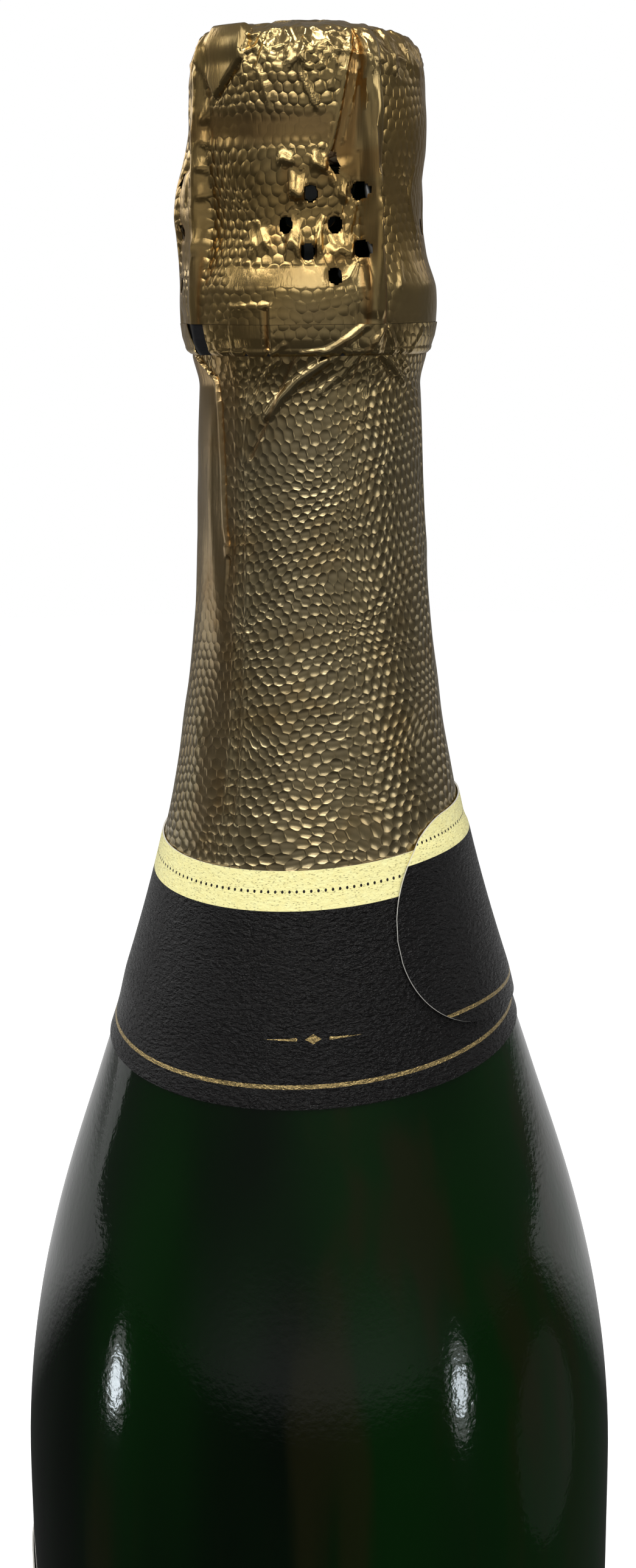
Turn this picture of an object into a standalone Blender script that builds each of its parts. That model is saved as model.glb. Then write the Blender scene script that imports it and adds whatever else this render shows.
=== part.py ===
"""Sealed 75 cl sparkling wine bottle, dressed with foil and paper.

Metres, Z up, the bottle's axis on Z and its resting ring on Z = 0. The viewer of the
dressed side stands at -Y. An angle round the axis is 0 at -Y and grows towards +X.
"""
import math

import bmesh
import bpy
from mathutils import Vector
from mathutils.geometry import interpolate_bezier

# Gaps and sheet thicknesses
FIT_GAP = 0.0003
SKIN_GAP = 0.00015
WIRE_GAP = 0.00012
FOIL_WALL = 0.0003
PAPER_WALL = 0.0003
TAPE_WALL = 0.0002

# Glass, outside
BODY_RADIUS = 0.04425
BODY_HEIGHT = 0.1103
HEEL_RADIUS = 0.008
REST_RING_RADIUS = 0.0335
REST_RING_WIDTH = 0.005
PUNT_DEPTH = 0.034
SHOULDER_RISE = 0.0629
SHOULDER_MID_RADIUS = 0.0319
SHOULDER_SLOPE = 0.322
NECK_RISE = 0.0908
NECK_RADIUS = 0.01488
NECK_LENGTH = 0.036
NECK_SLOPE = 0.015
THROAT_RADIUS = 0.0143

# Glass, mouth
RING_RADIUS = 0.016
RING_HEIGHT = 0.0054
RING_DROP = 0.0154
RING_EDGE = 0.0007
BEAD_RADIUS = 0.0144
BEAD_HEIGHT = 0.0056
BEAD_EDGE = 0.0012
GROOVE_RADIUS = 0.0132
BORE_RADIUS = 0.0089
BORE_DEPTH = 0.024
BORE_FLARE = 0.0003

# Glass, inside, and the wine
BODY_WALL = 0.0043
NECK_WALL = 0.0048
BASE_WALL = 0.0085
BASE_CORNER = 0.009
FILL_DROP = 0.076

# Cork
CORK_LENGTH = 0.0375
CORK_HEAD_HEIGHT = 0.0134
CORK_HEAD_RADIUS = 0.0147
CORK_HEAD_EDGE = 0.003
CORK_DISC_HEIGHT = 0.006
CORK_SHANK_GAP = 0.0002

# Cap plate
PLATE_RADIUS = 0.0144
PLATE_WALL = 0.0004
PLATE_RISE = 0.0014
PLATE_RIM_DROP = 0.0013
FIELD_SHARE = 0.76
CHANNEL_SHARE = 0.84
BEND_SHARE = 0.96

# Wire cage
CAGE_WIRE_RADIUS = 0.00042
BELT_WIRE_RADIUS = 0.0005
LEG_COUNT = 4
LEG_TWISTS = 3
LEG_ANGLE = -61.0
LOOP_OFFSET = -36.0
LOOP_HALF_WIDTH = 0.0033
LOOP_HEIGHT = 0.0075
LOOP_STEM = 0.0046

# Foil
HOOD_SLACK = 0.001
HEAD_SLACK = 0.0011
WAIST_SLACK = 0.00075
HOOD_TOP_GAP = 0.0017
BAND_HEIGHT = 0.004
TEAR_GAP = 0.00015
VENT_RADIUS = 0.0009
VENT_PITCH = 0.0032
VENT_RISE = 0.0036
VENT_DROP = 0.0074
VENT_CUT = 0.004
VENT_ANGLE = 12.0
VENT_ROWS = 3
VENT_CLUSTERS = 4
LEG_CREASE = 11.0
LOOP_CREASE = 8.0
NOTCH_ANGLE = -65.0
NOTCH_WIDTH = 0.0042
SLEEVE_COVER = 0.0136
SLEEVE_FLARE = 0.0022
SLEEVE_FLARE_HEIGHT = 0.0042

# Labels
COLLAR_DROP = 0.0544
COLLAR_HEIGHT = 0.0295
COLLAR_TILT = 0.129
COLLAR_LEAN = 52.0
COLLAR_RISE = 0.003
COLLAR_BRIDGE = 0.0068
COLLAR_START = 100.0
COLLAR_END = -330.0
LAP_START = 6.0
LAP_END = 30.0
FRONT_DROP = 0.0126
FRONT_FOOT = 0.0217
FRONT_ANGLE = -140.0
FRONT_WIDTH = 0.095

# Counts of faces, and the gap under which points are joined
GLASS_STEPS = 40
SMALL_STEPS = 28
FOIL_STEPS = 48
COLLAR_STEPS = 42
FRONT_STEPS = 16
BELT_STEPS = 26
CURVE_POINTS = 5
ARC_POINTS = 3
TWIST_POINTS = 5
EYE_POINTS = 7
VENT_SIDES = 6
JOIN_GAP = 0.00001

# Places that follow from the sizes above
SHOULDER_MID_HEIGHT = BODY_HEIGHT + SHOULDER_RISE
NECK_START = SHOULDER_MID_HEIGHT + NECK_RISE
GLASS_HEIGHT = NECK_START + NECK_LENGTH
RING_TOP = GLASS_HEIGHT - RING_DROP
RING_UNDER = RING_TOP - RING_HEIGHT
CORK_FOOT = GLASS_HEIGHT + FIT_GAP
CORK_TOP = CORK_FOOT + CORK_HEAD_HEIGHT
PLATE_RIM_TOP = CORK_TOP + FIT_GAP + PLATE_WALL + PLATE_RIM_DROP
CHANNEL_HEIGHT = PLATE_RIM_TOP - PLATE_WALL - PLATE_RISE / 4
CHANNEL_RADIUS = PLATE_RADIUS * (CHANNEL_SHARE + BEND_SHARE) / 2
CAGE_RING_HEIGHT = CHANNEL_HEIGHT + WIRE_GAP + CAGE_WIRE_RADIUS
STRAND_OFFSET = CAGE_WIRE_RADIUS + WIRE_GAP / 2
PAIR_RADIUS = STRAND_OFFSET + CAGE_WIRE_RADIUS
LEG_RADIUS = RING_RADIUS + WIRE_GAP + PAIR_RADIUS
BELT_HEIGHT = RING_UNDER - 2 * WIRE_GAP - 2 * CAGE_WIRE_RADIUS - BELT_WIRE_RADIUS
EYE_RADIUS = BELT_WIRE_RADIUS + WIRE_GAP + CAGE_WIRE_RADIUS
BELT_RADIUS = THROAT_RADIUS + 2 * WIRE_GAP + 2 * CAGE_WIRE_RADIUS + BELT_WIRE_RADIUS
LOOP_ANGLE = LEG_ANGLE + LOOP_OFFSET
LOOP_RADIUS = RING_RADIUS + WIRE_GAP + BELT_WIRE_RADIUS
LOOP_TOP = RING_TOP + WIRE_GAP + LOOP_STEM + LOOP_HEIGHT + 2 * BELT_WIRE_RADIUS
BAND_FOOT = BELT_HEIGHT - EYE_RADIUS - CAGE_WIRE_RADIUS
BAND_TOP = BAND_FOOT + BAND_HEIGHT
TAPE_STACK = TAPE_WALL + SKIN_GAP
VENT_HEIGHT = GLASS_HEIGHT - VENT_DROP
LEG_SPREAD = math.degrees(PAIR_RADIUS / LEG_RADIUS)
LOOP_SPREAD = math.degrees((LOOP_HALF_WIDTH + 2 * BELT_WIRE_RADIUS) / LOOP_RADIUS)
COLLAR_TOP = NECK_START - COLLAR_DROP
SLEEVE_END = COLLAR_TOP - SLEEVE_COVER
FRONT_TOP = BODY_HEIGHT - FRONT_DROP


def material(name, colour, roughness, metallic=0.0):
    """A plain finish for one sub-part."""
    made = bpy.data.materials.new(name)
    made.use_nodes = True
    shader = made.node_tree.nodes["Principled BSDF"]
    shader.inputs["Base Color"].default_value = (*colour, 1.0)
    shader.inputs["Roughness"].default_value = roughness
    shader.inputs["Metallic"].default_value = metallic
    made.diffuse_color = (*colour, 1.0)
    return made


def place(angle, radius, height):
    """The point at an angle round the axis, in degrees."""
    turn = math.radians(angle)
    return Vector((radius * math.sin(turn), -radius * math.cos(turn), height))


def arc(centre, radius, start, end, points=ARC_POINTS):
    """Points of an arc in the outline's plane, from start to end degrees."""
    steps = [math.radians(start + (end - start) * i / points) for i in range(points + 1)]
    return [(centre[0] + radius * math.cos(a), centre[1] + radius * math.sin(a)) for a in steps]


def between(value, low, high):
    """0 below low, 1 above high and a smooth rise between them."""
    share = min(1.0, max(0.0, (value - low) / (high - low)))
    return share * share * (3 - 2 * share)


def new_object(name, data, finish):
    made = bpy.data.objects.new(name, data)
    bpy.context.scene.collection.objects.link(made)
    data.materials.append(finish)
    return made


def smooth(obj):
    obj.data.shade_smooth()
    obj.data.set_sharp_from_angle(angle=math.radians(40))


def turned(name, outline, steps, finish):
    """A piece turned from an outline that runs down its outer side."""
    mesh = bpy.data.meshes.new(name)
    verts = [(r, 0.0, z) for r, z in outline]
    open_ends = outline[0][0] == 0 and outline[-1][0] == 0
    edges = [(i, i + 1) for i in range(len(verts) - 1)]
    if not open_ends:
        edges.append((len(verts) - 1, 0))
    mesh.from_pydata(verts, edges, [])
    obj = new_object(name, mesh, finish)
    screw = obj.modifiers.new("turn", "SCREW")
    screw.steps = steps
    screw.render_steps = steps
    screw.use_merge_vertices = True
    screw.merge_threshold = JOIN_GAP
    screw.use_smooth_shade = True
    return obj


def sheet(name, lines, closed, pole, wall, finish):
    """A sheet through lines of points, top line first, thickened outwards by its wall."""
    bm = bmesh.new()
    rows = [[bm.verts.new(p) for p in line] for line in lines]
    columns = len(lines[0])
    last = columns if closed else columns - 1
    for upper, lower in zip(rows, rows[1:]):
        for i in range(last):
            j = (i + 1) % columns
            bm.faces.new((upper[i], lower[i], lower[j], upper[j]))
    if pole is not None:
        centre = bm.verts.new(pole)
        for i in range(last):
            bm.faces.new((centre, rows[0][i], rows[0][(i + 1) % columns]))
    mesh = bpy.data.meshes.new(name)
    bm.to_mesh(mesh)
    bm.free()
    obj = new_object(name, mesh, finish)
    smooth(obj)
    thick = obj.modifiers.new("wall", "SOLIDIFY")
    thick.thickness = wall
    thick.offset = 1.0
    thick.use_even_offset = True
    return obj


def wire(name, points, radius, finish):
    """One unbroken wire that closes on itself."""
    curve = bpy.data.curves.new(name, "CURVE")
    curve.dimensions = "3D"
    curve.bevel_depth = radius
    curve.bevel_resolution = 1
    curve.use_fill_caps = False
    spline = curve.splines.new("POLY")
    spline.points.add(len(points) - 1)
    for spot, point in zip(spline.points, points):
        spot.co = (*point, 1.0)
    spline.use_cyclic_u = True
    spline.use_smooth = True
    return new_object(name, curve, finish)


# The glass

def shoulder_line():
    """Outer line from the neck down to the straight body: two flowing curves."""
    rise_share, mid_share, lift_share, neck_share = 0.47, 0.21, 0.265, 0.50
    start = Vector((BODY_RADIUS, BODY_HEIGHT, 0))
    middle = Vector((SHOULDER_MID_RADIUS, SHOULDER_MID_HEIGHT, 0))
    neck = Vector((NECK_RADIUS, NECK_START, 0))
    slant = Vector((-SHOULDER_SLOPE, 1, 0))
    upright = Vector((-NECK_SLOPE, 1, 0))
    rise = Vector((0, SHOULDER_RISE * rise_share, 0))
    lower = interpolate_bezier(
        start, start + rise, middle - slant * SHOULDER_RISE * mid_share, middle, CURVE_POINTS)
    upper = interpolate_bezier(
        middle, middle + slant * NECK_RISE * lift_share,
        neck - upright * NECK_RISE * neck_share, neck, CURVE_POINTS)
    line = [(p.x, p.y) for p in list(lower) + list(upper)[1:]]
    return line[::-1]


def mouth_line():
    """Outer line from the inner edge of the lip down to the root of the neck."""
    lip_share, groove_share, slope_share = 0.09, 0.45, 0.25
    lip_edge = BORE_RADIUS * (1 + lip_share)
    bead_foot = GLASS_HEIGHT - BEAD_HEIGHT
    groove_top = bead_foot - (bead_foot - RING_TOP) * slope_share
    groove_foot = bead_foot - (bead_foot - RING_TOP) * (1 - slope_share)
    chamfer = RING_RADIUS - (RING_RADIUS - GROOVE_RADIUS) * groove_share
    bead_centre = (BEAD_RADIUS - BEAD_EDGE, GLASS_HEIGHT - BEAD_EDGE)
    ring_centre = (RING_RADIUS - RING_EDGE, RING_UNDER + RING_EDGE)
    line = [(lip_edge, GLASS_HEIGHT)]
    line += arc(bead_centre, BEAD_EDGE, 90, 0)
    line += [(BEAD_RADIUS, bead_foot), (GROOVE_RADIUS, groove_top), (GROOVE_RADIUS, groove_foot)]
    line += [(chamfer, RING_TOP), (RING_RADIUS, RING_TOP - RING_EDGE)]
    line += arc(ring_centre, RING_EDGE, 0, -90, 2)
    line += [(THROAT_RADIUS + RING_EDGE, RING_UNDER), (THROAT_RADIUS, RING_UNDER - RING_EDGE)]
    return line


OUTER_LINE = mouth_line() + shoulder_line()


def glass_radius(height):
    """Outer radius of the glass below its ring."""
    line = [p for p in OUTER_LINE if p[1] < RING_UNDER]
    if height <= line[-1][1]:
        return line[-1][0]
    for (r_top, z_top), (r_low, z_low) in zip(line, line[1:]):
        if height >= z_low:
            share = min(1.0, (height - z_low) / (z_top - z_low))
            return r_low + (r_top - r_low) * share
    return line[-1][0]


def cavity_radius(height):
    """Inner radius: the outer line less a wall that thickens up the neck."""
    share = between(height, BODY_HEIGHT, NECK_START)
    return glass_radius(height) - BODY_WALL - (NECK_WALL - BODY_WALL) * share


def punt_line(foot_radius, foot_height, points):
    """The hollow under the base, from its foot up to the axis."""
    punt_power = 1.7
    reach = [1 - i / points for i in range(points + 1)]
    return [(foot_radius * s, foot_height + PUNT_DEPTH * (1 - s ** punt_power)) for s in reach]


def cavity_line(clearance, top):
    """The inside of the glass from a height down to the axis, less a clearance."""
    body = BODY_RADIUS - BODY_WALL
    corner = (body - BASE_CORNER, BASE_WALL + BASE_CORNER)
    heights = [z for _, z in shoulder_line()[::2] if z < top]
    line = [(cavity_radius(top) - clearance, top)]
    line += [(cavity_radius(z) - clearance, z) for z in heights]
    line += arc(corner, BASE_CORNER - clearance, 0, -90, 3)
    foot = body - BASE_CORNER
    return line[:-1] + punt_line(foot, BASE_WALL + 2 * clearance, 5)


def glass_bottle(finish):
    bore_foot = GLASS_HEIGHT - BORE_DEPTH
    lip_edge = OUTER_LINE[0][0] - BORE_RADIUS
    inside = cavity_line(0, NECK_START)[::-1]
    bore = [(BORE_RADIUS + BORE_FLARE, bore_foot), (BORE_RADIUS, GLASS_HEIGHT - lip_edge)]
    heel = arc((BODY_RADIUS - HEEL_RADIUS, HEEL_RADIUS), HEEL_RADIUS, 0, -60)
    ring_out = REST_RING_RADIUS + REST_RING_WIDTH / 2
    ring_in = REST_RING_RADIUS - REST_RING_WIDTH / 2
    punt = punt_line(ring_in, 0, 6)
    outline = inside + bore + OUTER_LINE + heel + [(ring_out, 0)] + punt
    return turned("glass_bottle", outline, GLASS_STEPS, finish)


def wine(finish):
    level = GLASS_HEIGHT - FILL_DROP
    return turned("wine", [(0, level)] + cavity_line(FIT_GAP, level), SMALL_STEPS, finish)


# The stopper

def cork(finish, disc_finish):
    """Agglomerate cork with a mushroom head, and two natural discs under its shank."""
    dome_share, under_share, belly_share = 0.80, 0.90, 0.45
    shank = BORE_RADIUS - CORK_SHANK_GAP
    foot = CORK_TOP - CORK_LENGTH
    body_foot = foot + 2 * (CORK_DISC_HEIGHT + SKIN_GAP)
    crown = (CORK_HEAD_RADIUS * dome_share, CORK_TOP)
    belly = CORK_FOOT + CORK_HEAD_HEIGHT * belly_share
    lip = CORK_HEAD_RADIUS * under_share
    outline = [(0, CORK_TOP), crown, (CORK_HEAD_RADIUS, belly)]
    outline += arc((CORK_HEAD_RADIUS - CORK_HEAD_EDGE, CORK_FOOT + CORK_HEAD_EDGE),
                   CORK_HEAD_EDGE, 0, -60, 3)
    outline += [(lip * under_share, CORK_FOOT), (shank, CORK_FOOT), (shank, body_foot), (0, body_foot)]
    turned("cork_body", outline, SMALL_STEPS, finish)
    for number, name in enumerate(("cork_disc_lower", "cork_disc_upper")):
        low = foot + number * (CORK_DISC_HEIGHT + SKIN_GAP)
        high = low + CORK_DISC_HEIGHT
        edge = SKIN_GAP
        disc = [(0, high), (shank - edge, high), (shank, high - edge)]
        disc += [(shank, low + edge), (shank - edge, low), (0, low)]
        turned(name, disc, SMALL_STEPS, disc_finish)


def cap_plate(finish):
    """Pressed plate: a raised field, a channel for the cage's ring and a rim turned down."""
    skirt_foot = CORK_TOP + FIT_GAP - PLATE_WALL
    crown = PLATE_RIM_TOP + PLATE_RISE / 4
    field = PLATE_RADIUS * FIELD_SHARE
    channel = PLATE_RADIUS * CHANNEL_SHARE
    inner = PLATE_RADIUS - PLATE_WALL
    top = [(0, crown), (field, PLATE_RIM_TOP)]
    top += [(channel, CHANNEL_HEIGHT), (PLATE_RADIUS * BEND_SHARE, CHANNEL_HEIGHT)]
    top += [(PLATE_RADIUS, CHANNEL_HEIGHT - PLATE_WALL), (PLATE_RADIUS, skirt_foot)]
    below = [(inner, skirt_foot), (inner, CHANNEL_HEIGHT - PLATE_WALL * 3 / 2)]
    below += [(channel - PLATE_WALL / 2, CHANNEL_HEIGHT - PLATE_WALL)]
    below += [(field - PLATE_WALL, PLATE_RIM_TOP - PLATE_WALL), (0, crown - PLATE_WALL)]
    return turned("cap_plate", top + below, SMALL_STEPS, finish)


def leg_axis(share):
    """Radius and height down a leg: slanting to the glass ring, then upright past it."""
    top = (CORK_HEAD_RADIUS + WIRE_GAP + PAIR_RADIUS, CAGE_RING_HEIGHT - 3 * PAIR_RADIUS)
    knee = (LEG_RADIUS, RING_TOP)
    foot = (LEG_RADIUS, RING_UNDER + PAIR_RADIUS)
    height = top[1] + (foot[1] - top[1]) * share
    slope = min(1.0, (top[1] - height) / (top[1] - knee[1]))
    return top[0] + (knee[0] - top[0]) * slope, height


def cage_wire(finish):
    """One wire: arcs in the plate's channel, twisted pairs as legs, an eye round the belt."""
    step_share, rim_share, lean_share, spread_share, turn_share = 0.55, 0.92, 1.2, 5.0, 0.30
    eye_start, eye_end = 0.0, -310.0
    w = CAGE_WIRE_RADIUS
    top_radius, top_height = leg_axis(0)
    rise = CAGE_RING_HEIGHT - top_height

    def spot(leg, radius, side, height):
        """A point beside a leg: side is measured round the axis, from the leg."""
        return place(leg + math.degrees(side / radius), radius, height)

    def bend(leg, sign):
        """From the top of a strand over the plate's rim and into the ring."""
        out = (top_radius + CHANNEL_RADIUS) / 2
        side = sign * STRAND_OFFSET
        return [
            spot(leg, top_radius, side, top_height + rise * step_share),
            spot(leg, out + w / 2, side * lean_share, top_height + rise * rim_share),
            spot(leg, CHANNEL_RADIUS + w, side * 2, CAGE_RING_HEIGHT),
            spot(leg, CHANNEL_RADIUS, side * spread_share, CAGE_RING_HEIGHT),
        ]

    def strand(leg, sign):
        """One of a leg's two strands, from its top to its foot."""
        count = LEG_TWISTS * TWIST_POINTS
        made = []
        for i in range(count + 1):
            radius, height = leg_axis(i / count)
            turn = math.radians(90 * sign + 360 * LEG_TWISTS * i / count)
            made.append(spot(leg, radius + STRAND_OFFSET * math.cos(turn),
                             STRAND_OFFSET * math.sin(turn), height))
        return made

    def eye(leg):
        """Round the belt: down outside it, under it, up inside it and out over it."""
        made = []
        for i in range(EYE_POINTS + 1):
            share = i / EYE_POINTS
            turn = math.radians(eye_start + (eye_end - eye_start) * share)
            made.append(spot(leg, BELT_RADIUS + EYE_RADIUS * math.cos(turn),
                             STRAND_OFFSET * (2 * share - 1),
                             BELT_HEIGHT + EYE_RADIUS * math.sin(turn)))
        return made

    points = []
    quarter = 360 / LEG_COUNT
    for number in range(LEG_COUNT):
        leg = LEG_ANGLE + quarter * number
        points += bend(leg, -1)[::-1]
        points += strand(leg, -1)
        points += eye(leg)
        points += strand(leg, 1)[::-1]
        points += bend(leg, 1)
        for i in range(ARC_POINTS + 1):
            share = turn_share / 2 + (1 - turn_share) * i / ARC_POINTS
            points.append(place(leg + quarter * share, CHANNEL_RADIUS, CAGE_RING_HEIGHT))
    return wire("cage_wire", points, w, finish)


def belt_wire(finish):
    """The belt under the glass ring, its two ends twisted and looped up for the hand."""
    w = BELT_WIRE_RADIUS
    offset = w + WIRE_GAP / 2
    stem_foot = RING_TOP + WIRE_GAP
    stem_top = stem_foot + LOOP_STEM
    stem_radius = LOOP_RADIUS - offset
    gap_angle, eye_start = 12.0, 250.0
    points = []
    for i in range(BELT_STEPS + 1):
        angle = LOOP_ANGLE + gap_angle + (360 - 2 * gap_angle) * i / BELT_STEPS
        points.append(place(angle, BELT_RADIUS, BELT_HEIGHT))

    def spot(radius, side, height):
        return place(LOOP_ANGLE + math.degrees(side / radius), radius, height)

    def rise(sign):
        """One end of the belt: out from under the ring and up its face."""
        return [
            spot((BELT_RADIUS + LOOP_RADIUS) / 2, sign * 2 * offset, BELT_HEIGHT + w / 4),
            spot(LOOP_RADIUS, sign * offset, RING_UNDER),
            spot(LOOP_RADIUS, sign * offset, stem_foot),
        ]

    def twist(sign):
        """One full turn of the stem."""
        count = TWIST_POINTS
        made = []
        for i in range(1, count + 1):
            turn = math.radians(90 * sign + 360 * i / count)
            made.append(spot(stem_radius + offset * math.cos(turn), offset * math.sin(turn),
                             stem_foot + LOOP_STEM * i / count))
        return made

    def eye():
        """The finger loop, an oval, from its left foot over the top to its right foot."""
        half_height = LOOP_HEIGHT / 2
        centre = stem_top + half_height + w
        made = []
        for i in range(2 * EYE_POINTS + 1):
            turn = math.radians(eye_start - (2 * eye_start - 180) * i / (2 * EYE_POINTS))
            made.append(spot(stem_radius + offset / 2, LOOP_HALF_WIDTH * math.cos(turn),
                             centre + half_height * math.sin(turn)))
        return made

    points += rise(-1) + twist(-1) + eye() + twist(1)[::-1] + rise(1)[::-1]
    return wire("belt_wire", points, w, finish)


# The foil

def bump(angle, centre, flat, edge):
    """1 within flat degrees of a centre, falling smoothly to 0 over edge degrees."""
    away = abs((angle - centre + 180) % 360 - 180)
    return 1 - between(away, flat, flat + edge)


def foil_angles():
    return [LEG_ANGLE + 360 * i / FOIL_STEPS for i in range(FOIL_STEPS)]


def legs_under(angle):
    """How far the foil at this angle is lifted by a leg of the cage."""
    legs = [LEG_ANGLE + 360 * i / LEG_COUNT for i in range(LEG_COUNT)]
    return max(bump(angle, leg, LEG_SPREAD, LEG_CREASE) for leg in legs)


def foil_line(rows, over_legs, over_loop):
    """A line round the foil, pushed out where a leg or the loop lies under it."""
    line = []
    for angle in foil_angles():
        leg = legs_under(angle)
        loop = bump(angle, LOOP_ANGLE, LOOP_SPREAD, LOOP_CREASE)
        radius = rows[0] + (over_legs[0] - rows[0]) * leg
        height = rows[1] + (over_legs[1] - rows[1]) * leg
        radius += max(0, over_loop - radius) * loop
        line.append(place(angle, radius, height))
    return line


def hood_rows():
    """Inner radius and height of the hood, from the crown down: plain, and over a leg."""
    crown_share, waist_share = 0.55, 1 / 3
    drop_shares = (0.02, 0.11, 0.26, 0.60, 1.0)
    plain_shares = (0.80, 0.91, 0.97, 1.0, 0.985)
    edge_share, cover_share = 0.90, 0.75
    crown = CAGE_RING_HEIGHT + CAGE_WIRE_RADIUS + HOOD_TOP_GAP
    head = CORK_HEAD_RADIUS + HEAD_SLACK
    waist = BEAD_RADIUS + WAIST_SLACK
    skirt = RING_RADIUS + HOOD_SLACK
    leg_top, leg_start = leg_axis(0)
    near = WIRE_GAP + PAIR_RADIUS

    def leg_at(height):
        span = leg_start - RING_TOP
        share = min(1.0, max(0.0, (leg_start - height) / span))
        return leg_top + (LEG_RADIUS - leg_top) * share + near

    heights = [crown - (crown - CORK_FOOT) * share for share in drop_shares]
    plain = [head * share for share in plain_shares]
    over = [head * edge_share, leg_top + near * cover_share] + [leg_at(h) for h in heights[2:]]
    bead_foot = GLASS_HEIGHT - BEAD_HEIGHT
    lower = [LOOP_TOP + SKIN_GAP, bead_foot, (bead_foot + RING_TOP) / 2, RING_TOP]
    lower.append(BAND_TOP + TEAR_GAP)
    heights += lower
    plain += [(waist + head) / 2, waist, waist + (skirt - waist) * waist_share, skirt, skirt]
    over += [leg_at(h) for h in lower]
    rows = [((head * crown_share, crown), (head * crown_share, crown))]
    rows += [((p, h), (o, h)) for p, o, h in zip(plain, over, heights)]
    return crown, rows


def vent_cutter():
    """Radial prisms for the air holes: a diamond of nine on each quarter of the hood."""
    bm = bmesh.new()
    reach = LEG_RADIUS + PAIR_RADIUS
    for cluster in range(VENT_CLUSTERS):
        for row in range(-VENT_ROWS + 1, VENT_ROWS):
            count = VENT_ROWS - abs(row)
            for number in range(count):
                side = (2 * number - count + 1) * VENT_PITCH
                angle = VENT_ANGLE + 360 * cluster / VENT_CLUSTERS + math.degrees(side / reach)
                centre = place(angle, reach, VENT_HEIGHT + row * VENT_RISE)
                turn = Vector((centre.x, centre.y, 0)).to_track_quat("Z", "Y").to_matrix().to_4x4()
                turn.translation = centre
                bmesh.ops.create_cone(
                    bm, cap_ends=True, segments=VENT_SIDES, radius1=VENT_RADIUS,
                    radius2=VENT_RADIUS, depth=2 * VENT_CUT, matrix=turn)
    mesh = bpy.data.meshes.new("vent_cutter")
    bm.to_mesh(mesh)
    bm.free()
    cutter = bpy.data.objects.new("vent_cutter", mesh)
    bpy.context.scene.collection.objects.link(cutter)
    cutter.hide_render = True
    cutter.display_type = "WIRE"
    return cutter


def foil_hood(finish):
    crown, rows = hood_rows()
    over_loop = LOOP_RADIUS + BELT_WIRE_RADIUS + SKIN_GAP + TAPE_STACK
    lines = []
    for plain, over in rows:
        lift = over_loop if plain[1] <= LOOP_TOP + SKIN_GAP else 0
        lines.append(foil_line(plain, over, lift))
    hood = sheet("foil_hood", lines, True, Vector((0, 0, crown + FOIL_WALL)), FOIL_WALL, finish)
    cut = hood.modifiers.new("vents", "BOOLEAN")
    cut.operation = "DIFFERENCE"
    cut.object = vent_cutter()
    return hood


def band_line(height, inset):
    """The foil over the belt at a height, with room for the tape and the legs inside it."""
    skirt = RING_RADIUS + HOOD_SLACK - inset
    leg = LEG_RADIUS + PAIR_RADIUS + WIRE_GAP + TAPE_STACK - inset
    loop = LOOP_RADIUS + BELT_WIRE_RADIUS + SKIN_GAP + TAPE_STACK - inset
    return foil_line((skirt, height), (leg, height), loop)


def tear_band(finish):
    """The strip that tears out: a band with a notch at the tape's end."""
    half = math.degrees(NOTCH_WIDTH / 2 / (LEG_RADIUS + PAIR_RADIUS))
    lines = []
    for height in (BAND_TOP, BAND_FOOT):
        line = band_line(height, 0)
        ring = sorted(zip(foil_angles(), line), key=lambda pair: (pair[0] - NOTCH_ANGLE) % 360)
        inside = [p for a, p in ring if half < (a - NOTCH_ANGLE) % 360 < 360 - half]
        first = cut_point(ring, NOTCH_ANGLE + half)
        last = cut_point(ring, NOTCH_ANGLE - half)
        lines.append([first] + inside + [last])
    return sheet("tear_band", lines, False, None, FOIL_WALL, finish)


def cut_point(ring, angle):
    """Where the ring of foil points is crossed at an angle."""
    after = min(ring, key=lambda pair: (pair[0] - angle) % 360)
    before = min(ring, key=lambda pair: (angle - pair[0]) % 360)
    span = (after[0] - before[0]) % 360
    if span == 0:
        return before[1]
    return before[1].lerp(after[1], ((angle - before[0]) % 360) / span)


def tear_tape(finish):
    """The tape inside the band, which cuts the foil when its end is pulled."""
    margin = BAND_HEIGHT / 10
    lines = [band_line(z, TAPE_STACK) for z in (BAND_TOP - margin, BAND_FOOT + margin)]
    return sheet("tear_tape", lines, True, None, TAPE_WALL, finish)


def neck_foil(finish):
    """The sleeve below the tear band, drawn in on the neck and hidden under the collar."""
    top = BAND_FOOT - FIT_GAP
    flare_foot = top - SLEEVE_FLARE_HEIGHT
    inner = [(glass_radius(top) + SKIN_GAP + SLEEVE_FLARE, top)]
    inner += [(glass_radius(flare_foot) + SKIN_GAP, flare_foot)]
    heights = [z for _, z in shoulder_line() if SLEEVE_END < z < flare_foot]
    inner += [(glass_radius(z) + SKIN_GAP, z) for z in heights]
    inner += [(glass_radius(SLEEVE_END) + SKIN_GAP, SLEEVE_END)]
    outer = [(r + FOIL_WALL, z) for r, z in inner]
    return turned("neck_foil", outer + inner[::-1], GLASS_STEPS, finish)


# The labels

def collar_base(height):
    """Radius that the collar lies on: glass, and foil over glass higher up."""
    over_foil = between(height, SLEEVE_END - 2 * COLLAR_BRIDGE, SLEEVE_END - COLLAR_BRIDGE)
    return glass_radius(height) + SKIN_GAP + (SKIN_GAP + FOIL_WALL) * over_foil


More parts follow.
